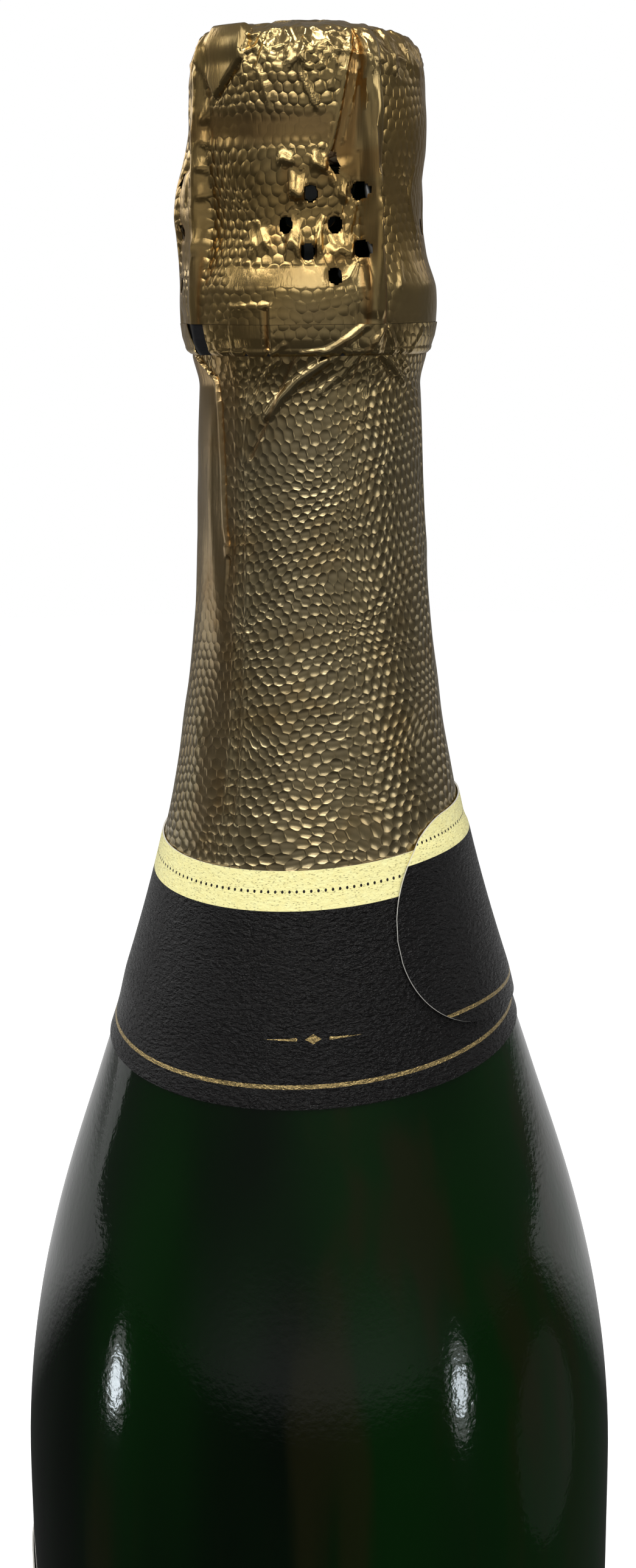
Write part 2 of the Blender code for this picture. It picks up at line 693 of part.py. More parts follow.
def collar_label(finish):
    """A paper band wound once round the shoulder, its round end lapped over its start."""
    row_shares = (1.0, 0.78, 0.55, 0.28, 0.0)
    end_shares = (0.62, 0.34, 0.15, 0.04)
    straight_share = 0.75
    lap_start, lap_end = COLLAR_START - 360 + LAP_START, COLLAR_START - 360 + LAP_END
    half = COLLAR_HEIGHT / 2
    end_radius = glass_radius(COLLAR_TOP - half)
    end_reach = math.degrees(half / end_radius)
    lines = [[] for _ in row_shares]
    angles = [COLLAR_START + (COLLAR_END - COLLAR_START) * i / COLLAR_STEPS
              for i in range(COLLAR_STEPS + 1)]
    round_part = [COLLAR_END + end_reach * share for share in end_shares]
    angles = [a for a in angles if a > COLLAR_END + end_reach * straight_share] + round_part
    for angle in angles[::-1]:
        wound = (COLLAR_START - angle) / 360
        lean = math.sin(math.radians(angle - COLLAR_LEAN))
        middle = COLLAR_TOP - half + COLLAR_RISE * wound
        layer = 1 - between(angle, lap_start, lap_end)
        along = max(0.0, 1 - (angle - COLLAR_END) / end_reach)
        tall = half * math.sqrt(1 - along * along)
        for line, share in zip(lines, row_shares):
            height = middle + tall * (2 * share - 1)
            height += COLLAR_TILT * glass_radius(height) * lean
            radius = collar_base(height) + layer * (PAPER_WALL + SKIN_GAP)
            line.append(place(angle, radius, height))
    return sheet("collar_label", lines, False, None, PAPER_WALL, finish)


def front_label(finish):
    """A plain paper panel on the straight body."""
    half = math.degrees(FRONT_WIDTH / 2 / BODY_RADIUS)
    angles = [FRONT_ANGLE - half + 2 * half * i / FRONT_STEPS for i in range(FRONT_STEPS + 1)]
    radius = BODY_RADIUS + SKIN_GAP
    lines = [[place(a, radius, z) for a in angles] for z in (FRONT_TOP, FRONT_FOOT)]
    return sheet("front_label", lines, False, None, PAPER_WALL, finish)


def build():
    for obj in list(bpy.data.objects):
        bpy.data.objects.remove(obj, do_unlink=True)
    green = material("dark green glass", (0.010, 0.030, 0.012), 0.06)
    liquid = material("wine", (0.60, 0.50, 0.18), 0.05)
    gold = material("embossed gold foil", (0.40, 0.28, 0.12), 0.35, 1.0)
    black = material("black paper", (0.015, 0.014, 0.015), 0.75)
    cream = material("cream paper", (0.75, 0.68, 0.50), 0.70)
    grain = material("agglomerate cork", (0.52, 0.36, 0.20), 0.85)
    natural = material("natural cork", (0.60, 0.43, 0.26), 0.80)
    tin = material("lacquered tinplate", (0.45, 0.34, 0.16), 0.30, 1.0)
    steel = material("galvanised wire", (0.62, 0.62, 0.60), 0.35, 1.0)
    film = material("black tape", (0.012, 0.012, 0.013), 0.45)
    glass_bottle(green)
    wine(liquid)
    cork(grain, natural)
    cap_plate(tin)
    cage_wire(steel)
    belt_wire(steel)
    foil_hood(gold)
    tear_band(gold)
    tear_tape(film)
    neck_foil(gold)
    collar_label(black)
    front_label(cream)


build()
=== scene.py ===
"""Looks of the sealed sparkling wine bottle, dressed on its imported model.

Angles round the bottle are in degrees, 0 towards the camera and growing to its right.
Tables of sizes are in millimetres and are scaled to metres when a mesh is made.
"""
import math

import bpy
import numpy as np
from mathutils import Euler, Matrix, Vector


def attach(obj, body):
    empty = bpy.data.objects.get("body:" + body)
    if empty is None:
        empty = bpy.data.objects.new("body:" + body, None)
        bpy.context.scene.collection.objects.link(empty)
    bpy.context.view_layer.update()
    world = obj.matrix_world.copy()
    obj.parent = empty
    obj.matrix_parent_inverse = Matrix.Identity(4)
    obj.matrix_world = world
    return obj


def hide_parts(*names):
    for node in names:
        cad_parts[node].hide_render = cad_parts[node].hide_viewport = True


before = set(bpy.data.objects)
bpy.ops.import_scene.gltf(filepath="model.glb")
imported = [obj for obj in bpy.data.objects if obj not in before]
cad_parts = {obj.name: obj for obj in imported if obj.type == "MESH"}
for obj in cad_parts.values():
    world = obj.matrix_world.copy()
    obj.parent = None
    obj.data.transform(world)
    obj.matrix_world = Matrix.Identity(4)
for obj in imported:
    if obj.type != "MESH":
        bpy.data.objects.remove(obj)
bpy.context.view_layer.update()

MM = 0.001
IMAGE_HEIGHT = 2576
MERGED = 2e-6      # points nearer than this, in metres, become one
ENDLESS = 512      # cells of noise, more than any piece has

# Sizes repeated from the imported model, in millimetres and degrees
BODY_RADIUS = 44.25
BODY_HEIGHT = 110.3
SHOULDER_MID = (31.9, 173.2)
SHOULDER_SLOPE = 0.322
NECK_FOOT = (14.88, 264.0)
NECK_SLOPE = 0.015
PUNT_RISE = 34.0
RING_TOP = 284.6
RING_UNDER = 279.2
CORK_TOP = 313.7
HEAD_RADIUS = 14.7
CHANNEL_HEIGHT = 314.95
CAGE_WIRE = 0.42
BELT_WIRE = 0.5
WIRE_GAP = 0.12
STRAND_OFFSET = CAGE_WIRE + WIRE_GAP / 2
PAIR_RADIUS = STRAND_OFFSET + CAGE_WIRE
LEG_RADIUS = 17.02
LEG_TOP_RADIUS = HEAD_RADIUS + WIRE_GAP + PAIR_RADIUS
RING_HEIGHT = CHANNEL_HEIGHT + WIRE_GAP + CAGE_WIRE
LEG_TOP_HEIGHT = RING_HEIGHT - 3 * PAIR_RADIUS
CHANNEL_RADIUS = 12.96
LEG_ANGLES = (-61.0, 29.0, 119.0, 209.0)
LOOP_ANGLE = -97.0
LOOP_RADIUS = 16.62
BELT_RADIUS = 15.88
BELT_HEIGHT = 277.62
EYE_RADIUS = 1.04
BAND_FOOT = 276.16
BAND_TOP = 280.16
HOOD_FOOT = 280.2
SLEEVE_TOP = 276.5
SLEEVE_END = 196.0
COLLAR_TOP = 209.6
COLLAR_HEIGHT = 29.5
COLLAR_START, COLLAR_END = 100.0, -333.5
FRONT_HALVES = (47.5, 38.0)
FRONT_ANGLE, FRONT_MIDDLE = -140.0, 59.7

# Sizes of the foils, papers and tape as they are drawn here
LIFT = 0.15        # air between the glass and what is glued to it
FOIL_THICKNESS = 0.12
TAPE_THICKNESS = 0.06
PAPER_THICKNESS = 0.22
LAYER = 0.45       # what lies over a foil or paper stands this much further out
PEBBLE_PITCH = (1.46, 1.30)
HOOD_RADIUS = 16.4      # for lengths round the hood
WALL_RADIUS = 15.8      # the same round its air holes
SLEEVE_RADIUS = 17.0    # the same round the neck's foil
FOIL_ARC = 0.285   # length of one degree round the foil


# Modelling helpers

def deselect():
    if bpy.context.object and bpy.context.object.mode != "OBJECT":
        bpy.ops.object.mode_set(mode="OBJECT")
    bpy.ops.object.select_all(action="DESELECT")


def choose(obj):
    deselect()
    obj.select_set(True)
    bpy.context.view_layer.objects.active = obj


def points_of(obj):
    mesh = obj.data
    flat = np.empty(len(mesh.vertices) * 3)
    mesh.vertices.foreach_get("co", flat)
    return flat.reshape(-1, 3)


def move_points(obj, points):
    obj.data.vertices.foreach_set("co", np.asarray(points, dtype=float).ravel())
    obj.data.update()


def angles_of(points):
    return np.degrees(np.arctan2(points[:, 0], -points[:, 1]))


def in_edit(obj, *steps, picked=None):
    """Runs edit-mode operators on the picked points of a mesh, or on all of it."""
    choose(obj)
    bpy.ops.object.mode_set(mode="EDIT")
    bpy.ops.mesh.select_mode(type="VERT")
    bpy.ops.mesh.select_all(action="SELECT" if picked is None else "DESELECT")
    if picked is not None:
        bpy.ops.object.mode_set(mode="OBJECT")
        obj.data.vertices.foreach_set("select", picked)
        bpy.ops.object.mode_set(mode="EDIT")
    for operator, settings in steps:
        operator(**settings)
    bpy.ops.object.mode_set(mode="OBJECT")


def close_up(obj, inside=False):
    """Makes one of points that meet, then turns every face outwards, or inwards."""
    in_edit(obj, (bpy.ops.mesh.remove_doubles, {"threshold": MERGED}),
            (bpy.ops.mesh.normals_make_consistent, {"inside": inside}))


def add_modifier(obj, kind, **settings):
    """Adds a modifier and applies it."""
    choose(obj)
    made = obj.modifiers.new(kind.lower(), kind)
    for name, value in settings.items():
        setattr(made, name, value)
    bpy.ops.object.modifier_apply(modifier=made.name)


def shade(obj, angle=40.0):
    choose(obj)
    bpy.ops.object.shade_smooth_by_angle(angle=math.radians(angle))


def finish_piece(obj, name, body, slot, node, *materials):
    """Names a piece, dresses it, hangs it on the body it rides on, and hides the imported part it stands
    for.
    """
    obj.name = name
    obj.data.name = name
    for material in materials:
        obj.data.materials.append(material)
    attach(obj, body)
    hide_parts(node)


def grid(columns, rows):
    """A flat grid, with the shares along and up it of each of its points."""
    deselect()
    bpy.ops.mesh.primitive_grid_add(
        x_subdivisions=columns, y_subdivisions=rows, size=1.0, location=(0, 0, 0))
    obj = bpy.context.object
    flat = points_of(obj)
    return obj, flat[:, 0] + 0.5, flat[:, 1] + 0.5


def around(angle, radius, height):
    """Points in metres from angles in degrees, and radii and heights in millimetres."""
    turn = np.radians(angle)
    parts = np.broadcast_arrays(radius * np.sin(turn), -radius * np.cos(turn), height)
    return np.stack(parts, axis=-1) * MM


def turned(outline, steps):
    """A piece turned from an outline of radii and heights: a ring cut open, then a screw."""
    deselect()
    bpy.ops.mesh.primitive_circle_add(vertices=len(outline), radius=1.0, location=(0, 0, 0))
    obj = bpy.context.object
    move_points(obj, [(r * MM, 0.0, z * MM) for r, z in outline])
    ends = np.arange(len(outline)) % (len(outline) - 1) == 0
    in_edit(obj, (bpy.ops.mesh.delete, {"type": "EDGE"}), picked=ends)
    add_modifier(obj, "SCREW", steps=steps, render_steps=steps, use_merge_vertices=True,
                 merge_threshold=MERGED, use_smooth_shade=True)
    close_up(obj)
    shade(obj)
    return obj


def tube(points, radius):
    """An unbroken wire that closes on itself, from its points in metres."""
    deselect()
    bpy.ops.curve.primitive_bezier_circle_add(radius=1.0, location=(0, 0, 0))
    obj = bpy.context.object
    curve = obj.data
    curve.splines.clear()
    spline = curve.splines.new("POLY")
    spline.points.add(len(points) - 1)
    spline.points.foreach_set("co", np.column_stack([points, np.ones(len(points))]).ravel())
    spline.use_cyclic_u = True
    curve.bevel_depth = radius * MM
    curve.bevel_resolution = 3
    choose(obj)
    bpy.ops.object.convert(target="MESH")
    obj = bpy.context.object
    shade(obj, 60)
    return obj


# Curves and reliefs

def ramp(value, low, high):
    """0 below low, 1 above high and a smooth rise between them."""
    share = np.clip((value - low) / (high - low), 0.0, 1.0)
    return share * share * (3 - 2 * share)


def window(value, low, high, edge):
    """1 between low and high, falling smoothly to 0 over an edge on each side."""
    return ramp(value, low - edge, low) * (1 - ramp(value, high, high + edge))


def apart(angle, centre):
    """The signed degrees from a centre, the short way round."""
    return (angle - centre + 180.0) % 360.0 - 180.0


def distances(line):
    """How far along a line of radii and heights each of its points lies."""
    return np.concatenate([[0], np.cumsum(np.linalg.norm(np.diff(line[:, :2], axis=0), axis=1))])


def flowing(points, count):
    """Evenly spaced points on a smooth curve through the given points."""
    p = np.asarray(points, dtype=float)
    p = np.vstack([2 * p[0] - p[1], p, 2 * p[-1] - p[-2]])
    made = []
    for a, b, c, d in zip(p, p[1:], p[2:], p[3:]):
        for t in np.linspace(0, 1, 24, endpoint=False):
            made.append(0.5 * (2 * b + (c - a) * t + (2 * a - 5 * b + 4 * c - d) * t ** 2
                               + (3 * b - a - 3 * c + d) * t ** 3))
    made.append(p[-2])
    made = np.array(made)
    along = distances(made)
    places = np.linspace(0, along[-1], count)
    return np.stack([np.interp(places, along, column) for column in made.T], axis=-1)


def value_noise(x, y, seed, period=ENDLESS):
    """Smooth noise from 0 to 1, which repeats along x after a whole number of cells."""
    table = np.random.default_rng(seed).random((period, ENDLESS))
    column, row = np.floor(x).astype(int), np.floor(y).astype(int)
    u, v = x - column, y - row
    u, v = u * u * (3 - 2 * u), v * v * (3 - 2 * v)
    left, right = column % period, (column + 1) % period
    low, high = row % ENDLESS, (row + 1) % ENDLESS
    below = table[left, low] * (1 - u) + table[right, low] * u
    above = table[left, high] * (1 - u) + table[right, high] * u
    return below * (1 - v) + above * v


def ridges(x, y, seed, period=ENDLESS):
    """Sharp crests from 0 to 1."""
    return 1 - np.abs(2 * value_noise(x, y, seed, period) - 1)


def crease(angle, height, path, width):
    """1 on a line through angles and heights, falling to 0 at a width in millimetres."""
    nearest = np.full(angle.shape, 1e9)
    x = angle * FOIL_ARC
    for (x0, y0), (x1, y1) in zip(path, path[1:]):
        x0, x1 = x0 * FOIL_ARC, x1 * FOIL_ARC
        dx, dy = x1 - x0, y1 - y0
        share = np.clip(((x - x0) * dx + (height - y0) * dy) / (dx * dx + dy * dy), 0, 1)
        nearest = np.minimum(nearest, np.hypot(x - x0 - share * dx, height - y0 - share * dy))
    return 1 - ramp(nearest, 0, width)


# Finishes

class Signal:
    """A socket that turns sums in Python into Math nodes."""

    def __init__(self, shading, socket):
        self.shading = shading
        self.socket = socket

    def math(self, operation, first, second):
        return self.shading.node("ShaderNodeMath", {"operation": operation}, {0: first, 1: second})

    def __add__(self, other):
        return self.math("ADD", self, other)

    def __radd__(self, other):
        return self.math("ADD", other, self)

    def __sub__(self, other):
        return self.math("SUBTRACT", self, other)

    def __rsub__(self, other):
        return self.math("SUBTRACT", other, self)

    def __mul__(self, other):
        return self.math("MULTIPLY", self, other)

    def __rmul__(self, other):
        return self.math("MULTIPLY", other, self)

    def __gt__(self, other):
        return self.math("GREATER_THAN", self, other)

    def __lt__(self, other):
        return self.math("LESS_THAN", self, other)

    def __abs__(self):
        return self.math("ABSOLUTE", self, 0.0)

    def wrapped(self, period):
        return self.math("FLOORED_MODULO", self, period)

    def whole(self):
        return self.math("FLOOR", self, 0.0)

    def at_least(self, low):
        return self.math("MAXIMUM", self, low)


class Shading:
    """Nodes that feed one shader, of a material or of the world."""

    def __init__(self, owner, shader, **constants):
        owner.use_nodes = True
        self.tree = owner.node_tree
        self.shader = self.tree.nodes[shader]
        for socket, value in constants.items():
            self.shader.inputs[socket.replace("_", " ")].default_value = value

    def node(self, kind, settings, sockets, output=0):
        made = self.tree.nodes.new(kind)
        for name, value in settings.items():
            if name == "stops":
                self.set_stops(made.color_ramp, value)
            else:
                setattr(made, name, value)
        for key, value in sockets.items():
            if isinstance(value, Signal):
                self.tree.links.new(value.socket, made.inputs[key])
            elif value is not None:
                made.inputs[key].default_value = value
        return Signal(self, made.outputs[output])

    def set_stops(self, colour_ramp, stops):
        while len(colour_ramp.elements) < len(stops):
            colour_ramp.elements.new(0.5)
        for element, (place, colour) in zip(colour_ramp.elements, stops):
            element.position = place
            element.color = (*colour, 1.0)

    def feed(self, socket, value):
        self.tree.links.new(value.socket, self.shader.inputs[socket])

    def place(self, kind="Object"):
        return self.node("ShaderNodeTexCoord", {}, {}, kind)

    def stretched(self, scale, turn=(0, 0, 0)):
        return self.node("ShaderNodeMapping", {}, {
            "Vector": self.place(), "Scale": scale, "Rotation": [math.radians(a) for a in turn]})

    def noise(self, vector, scale, detail=3.0, roughness=0.5):
        return self.node("ShaderNodeTexNoise", {}, {
            "Vector": vector, "Scale": scale, "Detail": detail, "Roughness": roughness})

    def cells(self, vector, scale, output="Distance", feature="F1"):
        return self.node("ShaderNodeTexVoronoi", {"feature": feature}, {
            "Vector": vector, "Scale": scale}, output)

    def attribute(self, name):
        return self.node("ShaderNodeAttribute", {"attribute_name": name}, {}, "Fac")

    def ray(self, kind):
        """1 where the surface is met by such a ray, else 0."""
        return self.node("ShaderNodeLightPath", {}, {}, f"Is {kind} Ray")

    def colours(self, share, stops):
        return self.node("ShaderNodeValToRGB", {"stops": stops}, {"Fac": share})

    def mix(self, share, first, second):
        colour = [(*c, 1.0) if isinstance(c, tuple) else c for c in (first, second)]
        return self.node("ShaderNodeMix", {"data_type": "RGBA"}, {
            0: share, 6: colour[0], 7: colour[1]}, 2)

    def between(self, value, low, high, start=0.0, end=1.0):
        """Start below low, end above high and a smooth change between them."""
        return self.node("ShaderNodeMapRange", {"interpolation_type": "SMOOTHSTEP"}, {
            "Value": value, "From Min": low, "From Max": high, "To Min": start, "To Max": end})

    def bump(self, height, distance, strength=1.0, under=None):
        return self.node("ShaderNodeBump", {}, {
            "Height": height, "Distance": distance, "Strength": strength, "Normal": under})

    def parts(self, vector, count=2):
        """The X, Y and, of three, the Z of a vector."""
        return [self.node("ShaderNodeSeparateXYZ", {}, {"Vector": vector}, i) for i in range(count)]


def grey(level):
    return level, level, level


class Finish(Shading):
    """A procedural material built round its Principled shader."""

    def __init__(self, name, **constants):
        self.material = bpy.data.materials.new(name)
        super().__init__(self.material, "Principled BSDF", **constants)


def glass_finish():
    f = Finish("dark green bottle glass", IOR=1.50, Transmission_Weight=0.5)
    streak = f.noise(f.stretched((60, 60, 3)), 1.0, 4)
    skin = f.noise(f.place(), 1100, 2)
    # Lighter green upright streaks in the tint: painted light shining through the glass
    painted_through_light = f.noise(f.stretched((34, 34, 4)), 1.0, 2)
    brown = f.between(f.noise(f.stretched((80, 80, 2)), 1.0, 3), 0.54, 0.68)
    green = f.mix(f.between(painted_through_light, 0.35, 0.65), (0.0004, 0.003, 0.0006), (0.001, 0.020, 0.001))
    f.feed("Base Color", f.mix(0.7 * brown, green, (0.014, 0.014, 0.003)))
    f.feed("Roughness", 0.06 + 0.04 * streak)
    f.feed("Normal", f.bump(streak + 0.16 * skin, 0.0004, 0.4))
    return f.material


def wine_finish():
    f = Finish("pale gold wine", IOR=1.34, Transmission_Weight=1.0, Roughness=0.0)
    haze = f.noise(f.place(), 20, 2)
    f.feed("Base Color", f.mix(haze, (0.80, 0.70, 0.36), (0.86, 0.76, 0.42)))
    return f.material


def pebble_height(f):
    """Domes packed like a honeycomb, none quite in its place, on a UV map one pebble to the unit.

    Every second row is one lattice and the rows between are the other; the higher dome shows.
    """
    across, up = f.parts(f.place("UV"))
    domes = []
    for offset in (0.0, 0.5):
        column, row = (across + offset).whole(), (0.5 * up + offset).whole()
        spot = f.node("ShaderNodeCombineXYZ", {}, {0: column + 7 * offset, 1: row})
        toss = f.node("ShaderNodeTexWhiteNoise", {"noise_dimensions": "2D"}, {"Vector": spot}, "Color")
        aside, above, tall = f.parts(toss, 3)
        x, y = across - column - (0.5 - offset), up - 2 * row - (1 - 2 * offset)
        within = f.between(0.5 - abs(x), 0.0, 0.10)
        x, y = x + 0.24 * aside - 0.12, y + 0.26 * above - 0.13
        dome = (1 - 3.1 * (x * x) - 2.4 * (y * y)).at_least(0.0)
        domes.append(within * dome * (0.65 + 0.35 * tall))
    return domes[0].at_least(domes[1])


def foil_finish():
    f = Finish("embossed bronze foil", Metallic=1.0)
    amount = f.attribute("pebble")
    stretch = f.attribute("stretch")
    raised = pebble_height(f)
    tarnish = f.noise(f.place(), 120, 4, 0.6)
    cloud = f.noise(f.place(), 45, 2)
    streak = f.noise(f.stretched((1, 1, 0.07)), 2000, 3, 0.6)
    on_neck = 1 - f.between(f.parts(f.place(), 3)[2], 0.262, 0.283)
    bronze = f.mix(f.between(cloud, 0.38, 0.62), (0.61, 0.41, 0.155), (0.56, 0.42, 0.19))
    bronze = f.mix(0.85 * on_neck, bronze, (0.54, 0.455, 0.275))
    # Darker brown in the valleys between the domes: painted shade
    valley_shaded = f.mix((0.7 - 0.3 * on_neck) * amount, bronze, (0.36, 0.25, 0.10))
    pressed = f.mix(raised * amount, valley_shaded, bronze)
    aged = f.mix(f.between(tarnish, 0.45, 0.8), pressed, (0.44, 0.31, 0.14))
    # The stretch share's orange-brown is mostly painted shade and inter-reflection in creases, grooves and
    # dents, partly a tint where the foil is stretched over the cage
    f.feed("Base Color", f.mix(stretch, aged, (0.44, 0.20, 0.05)))
    f.feed("Roughness", 0.17 + 0.10 * tarnish + 0.05 * streak)
    soft = f.bump(streak * (1 - amount), 0.00008, 0.6)
    f.feed("Normal", f.bump(raised * amount, 0.00021, 1.0, soft))
    return f.material


def collar_finish():
    """Black grained paper under a cream strip with dots; a small gold diamond between two dashes.

    U runs along the paper in shares of its length, and V up it in shares of its height.
    """
    f = Finish("black grained collar paper", Specular_IOR_Level=0.30)
    across, up = f.parts(f.place("UV"))
    turn, height = across * 430.0, up * COLLAR_HEIGHT
    down = COLLAR_HEIGHT - height
    slanted = (0, 35, 0)
    grain = f.noise(f.stretched((1, 1, 2.2), slanted), 1050, 3, 0.65)
    glint = f.between(f.cells(f.stretched((1, 1, 2.6), slanted), 1700), 0.02, 0.30)
    strip = down < 5.1
    dot_pitch, dot_depth, dot_size = 2.45, 2.65, 0.045
    aside, below = (turn.wrapped(dot_pitch) - dot_pitch / 2) * 0.48, down - dot_depth
    dots = aside * aside + below * below < dot_size
    line = abs(height - 2.75) < 0.26
    mark_turn, mark_height = 330.0, 8.6
    side, level = abs(turn - mark_turn), abs(height - mark_height)
    diamond = level * 1.5 + side * 0.42 < 0.95
    dashes = (level + side * 0.022 < 0.30) * (side > 4.4) * (side < 21.0)
    gold = line.at_least(diamond).at_least(dashes)
    mottle = f.noise(f.place(), 900, 4, 0.7)
    cream = f.mix(mottle, (0.92, 0.80, 0.31), (1.0, 0.98, 0.52))
    black = f.mix(glint * grain, (0.011, 0.010, 0.010), (0.001, 0.001, 0.001))
    ground = f.mix(strip, black, cream)
    ground = f.mix(strip * dots, ground, (0.012, 0.010, 0.010))
    f.feed("Base Color", f.mix(gold, ground, (0.62, 0.46, 0.20)))
    f.feed("Metallic", gold * 0.9)
    f.feed("Roughness", 0.36 - 0.20 * grain - 0.06 * gold)
    f.feed("Normal", f.bump((grain + 0.8 * glint) * (1 - 0.75 * strip), 0.00085, 1.0))
    return f.material


def front_finish():
    """Cream paper with a dark border inside its rounded edge."""
    f = Finish("cream label paper", Specular_IOR_Level=0.3)
    across, up = f.parts(f.place("UV"))
    edge = (abs(across - 0.5) * 2).at_least(abs(up - 0.5) * 2)
    border = f.between(edge, 0.925, 0.93) * (1 - f.between(edge, 0.955, 0.96))
    fibre = f.noise(f.place(), 700, 5, 0.7)
    paper = f.mix(fibre, (0.62, 0.55, 0.38), (0.78, 0.72, 0.54))
    f.feed("Base Color", f.mix(border, paper, (0.03, 0.025, 0.02)))
    f.feed("Roughness", 0.6 + 0.2 * fibre)
    f.feed("Normal", f.bump(fibre, 0.00004, 0.6))
    return f.material


def paper_core_finish():
    f = Finish("white paper core", Roughness=0.8)
    fibre = f.noise(f.place(), 3000, 2)
    f.feed("Base Color", f.mix(fibre, (0.62, 0.60, 0.55), (0.80, 0.78, 0.72)))
    return f.material


def agglomerate_finish():
    f = Finish("agglomerate cork", Specular_IOR_Level=0.25)
    grains = f.cells(f.place(), 520, "Color")
    lines = f.cells(f.place(), 520, "Distance", "DISTANCE_TO_EDGE")
    tone, = f.parts(grains, 1)
    fleck = f.noise(f.place(), 1600, 3, 0.7)
    body = f.colours(tone, [(0.0, (0.30, 0.17, 0.08)), (0.35, (0.52, 0.34, 0.18)),
                            (0.75, (0.64, 0.45, 0.26)), (1.0, (0.72, 0.54, 0.33))])
    body = f.mix(f.between(fleck, 0.62, 0.72), body, (0.20, 0.10, 0.05))
    gap = f.between(lines, 0.02, 0.10)
    f.feed("Base Color", f.mix(gap, (0.24, 0.13, 0.06), body))
    f.feed("Roughness", 0.75 + 0.2 * fleck)
    f.feed("Normal", f.bump(gap - 0.5 * fleck, 0.00012, 0.8))
    return f.material


def natural_cork_finish():
    f = Finish("natural cork", Specular_IOR_Level=0.25)
    grain = f.noise(f.stretched((1, 1, 5)), 260, 4, 0.6)
    pore = f.noise(f.stretched((1, 1, 3)), 700, 2, 0.6)
    body = f.mix(grain, (0.48, 0.31, 0.16), (0.70, 0.52, 0.32))
    dark = f.between(pore, 0.62, 0.68)
    f.feed("Base Color", f.mix(dark, body, (0.20, 0.10, 0.05)))
    f.feed("Roughness", 0.75 + 0.2 * grain)
    f.feed("Normal", f.bump(pore, 0.0001, -0.7))
    return f.material


def plate_finish():
    f = Finish("lacquered tinplate", Metallic=1.0, Coat_Weight=0.4, Coat_Roughness=0.08)
    worn = f.noise(f.place(), 300, 5, 0.65)
    scratch = f.noise(f.stretched((8, 1, 1), (0, 0, 25)), 500, 3)
    f.feed("Base Color", f.mix(f.between(worn, 0.6, 0.75), (0.50, 0.37, 0.16), (0.66, 0.60, 0.50)))
    f.feed("Roughness", 0.22 + 0.18 * scratch)
    f.feed("Normal", f.bump(scratch, 0.00003, 0.4))
    return f.material


def wire_finish():
    f = Finish("galvanised wire", Metallic=1.0)
    spangle = f.cells(f.place(), 1500, "Distance")
    drawn = f.noise(f.stretched((1, 1, 0.2)), 3500, 3)
    f.feed("Base Color", f.mix(spangle, (0.27, 0.27, 0.265), (0.19, 0.19, 0.185)))
    f.feed("Roughness", 0.44 + 0.16 * drawn)
    f.feed("Normal", f.bump(drawn, 0.00002, 0.4))
    return f.material


def tape_finish():
    f = Finish("black tear tape", Specular_IOR_Level=0.2)
    ribs = f.noise(f.stretched((1, 1, 9)), 700, 2)
    f.feed("Base Color", f.mix(ribs, (0.006, 0.006, 0.007), (0.016, 0.015, 0.016)))
    f.feed("Roughness", 0.38 + 0.2 * ribs)
    f.feed("Normal", f.bump(ribs, 0.00003, 0.5))
    return f.material


def floor_finish():
    """Pale, white to the eye where nothing shades it, and dim in reflections."""
    f = Finish("pale studio floor", Roughness=0.7, Specular_IOR_Level=0.1, Emission_Strength=1.0)
    cloud = f.noise(f.place(), 4, 3)
    glossy, diffuse = f.ray("Glossy"), f.ray("Diffuse")
    depth = f.parts(f.place())[1]
    behind, before = f.between(depth, 0.20, 0.36), f.between(0 - depth, 0.6, 1.4)
    beyond = f.between(depth, 0.6, 1.0)
    f.feed("Base Color", f.mix(glossy, f.mix(cloud, grey(0.80), grey(0.83)), grey(0.0)))
    mirrored = f.mix(behind, grey(0.03), grey(0.58))
    mirrored = f.mix(before, f.mix(beyond, mirrored, grey(0.16)), grey(0.24))
    f.feed("Emission Color", f.mix(diffuse, f.mix(glossy, grey(0.54), mirrored), grey(0.0)))
    return f.material


# Camera, floor and light

def make_camera():
    """Matched to the photograph: close, a little above the hood and looking down at it."""
    distance, height, pitch, roll = 0.3061, 0.2862, 13.42, 0.45
    focal_pixels, pixels_aside, middle_row = 3594.2, 6.0, 1312.4
    sensor = 36.0
    deselect()
    bpy.ops.object.camera_add(location=(0, -distance, height))
    camera = bpy.context.object
    look = Euler((math.radians(90 - pitch), 0, 0)).to_matrix()
    camera.rotation_euler = (look @ Matrix.Rotation(math.radians(-roll), 3, "Z")).to_euler()
    camera.data.sensor_width = sensor
    camera.data.sensor_fit = "AUTO"
    camera.data.lens = focal_pixels * sensor / IMAGE_HEIGHT
    camera.data.shift_x = pixels_aside / IMAGE_HEIGHT
    camera.data.shift_y = (middle_row - IMAGE_HEIGHT / 2) / IMAGE_HEIGHT
    camera.data.clip_start = 0.01
    bpy.context.scene.camera = camera


def make_floor():
    """A wide round floor with an inner ring of edges."""
    deselect()
    reach = 1.6
    bpy.ops.mesh.primitive_circle_add(vertices=96, radius=reach, fill_type="NGON", location=(0, 0, 0))
    floor = bpy.context.object
    in_edit(floor, (bpy.ops.mesh.inset, {"thickness": reach / 2}))
    floor.name = "studio_floor"
    floor.data.materials.append(floor_finish())


def soft_light(name, azimuth, elevation, distance, size, radiance, aim=(0, 0, 0.2), spread=180):
    """A soft box, as bright as a mirror at its aim would show it.

    A small one is round at its corners, and one with a narrow beam is cooler.
    """
    turn, rise = math.radians(azimuth), math.radians(elevation)
    aim = Vector(aim)
    spot = aim + distance * Vector((math.sin(turn) * math.cos(rise),
                                    -math.cos(turn) * math.cos(rise), math.sin(rise)))
    deselect()
    bpy.ops.object.light_add(type="AREA", location=spot)
    lamp = bpy.context.object
    lamp.name = name
    lamp.data.shape = "ELLIPSE" if size[0] < 0.3 else "RECTANGLE"
    lamp.data.size, lamp.data.size_y = size
    lamp.data.energy = radiance * math.pi * size[0] * size[1]
    if spread < 180:
        half = math.radians(spread / 2)
        lamp.data.spread = 2 * half
        lamp.data.color = (0.84, 0.93, 1.0)
        lamp.data.energy *= 1 - half / math.tan(half)
    lamp.rotation_euler = (spot - aim).to_track_quat("Z", "Y").to_euler()
    lamp.visible_camera = False


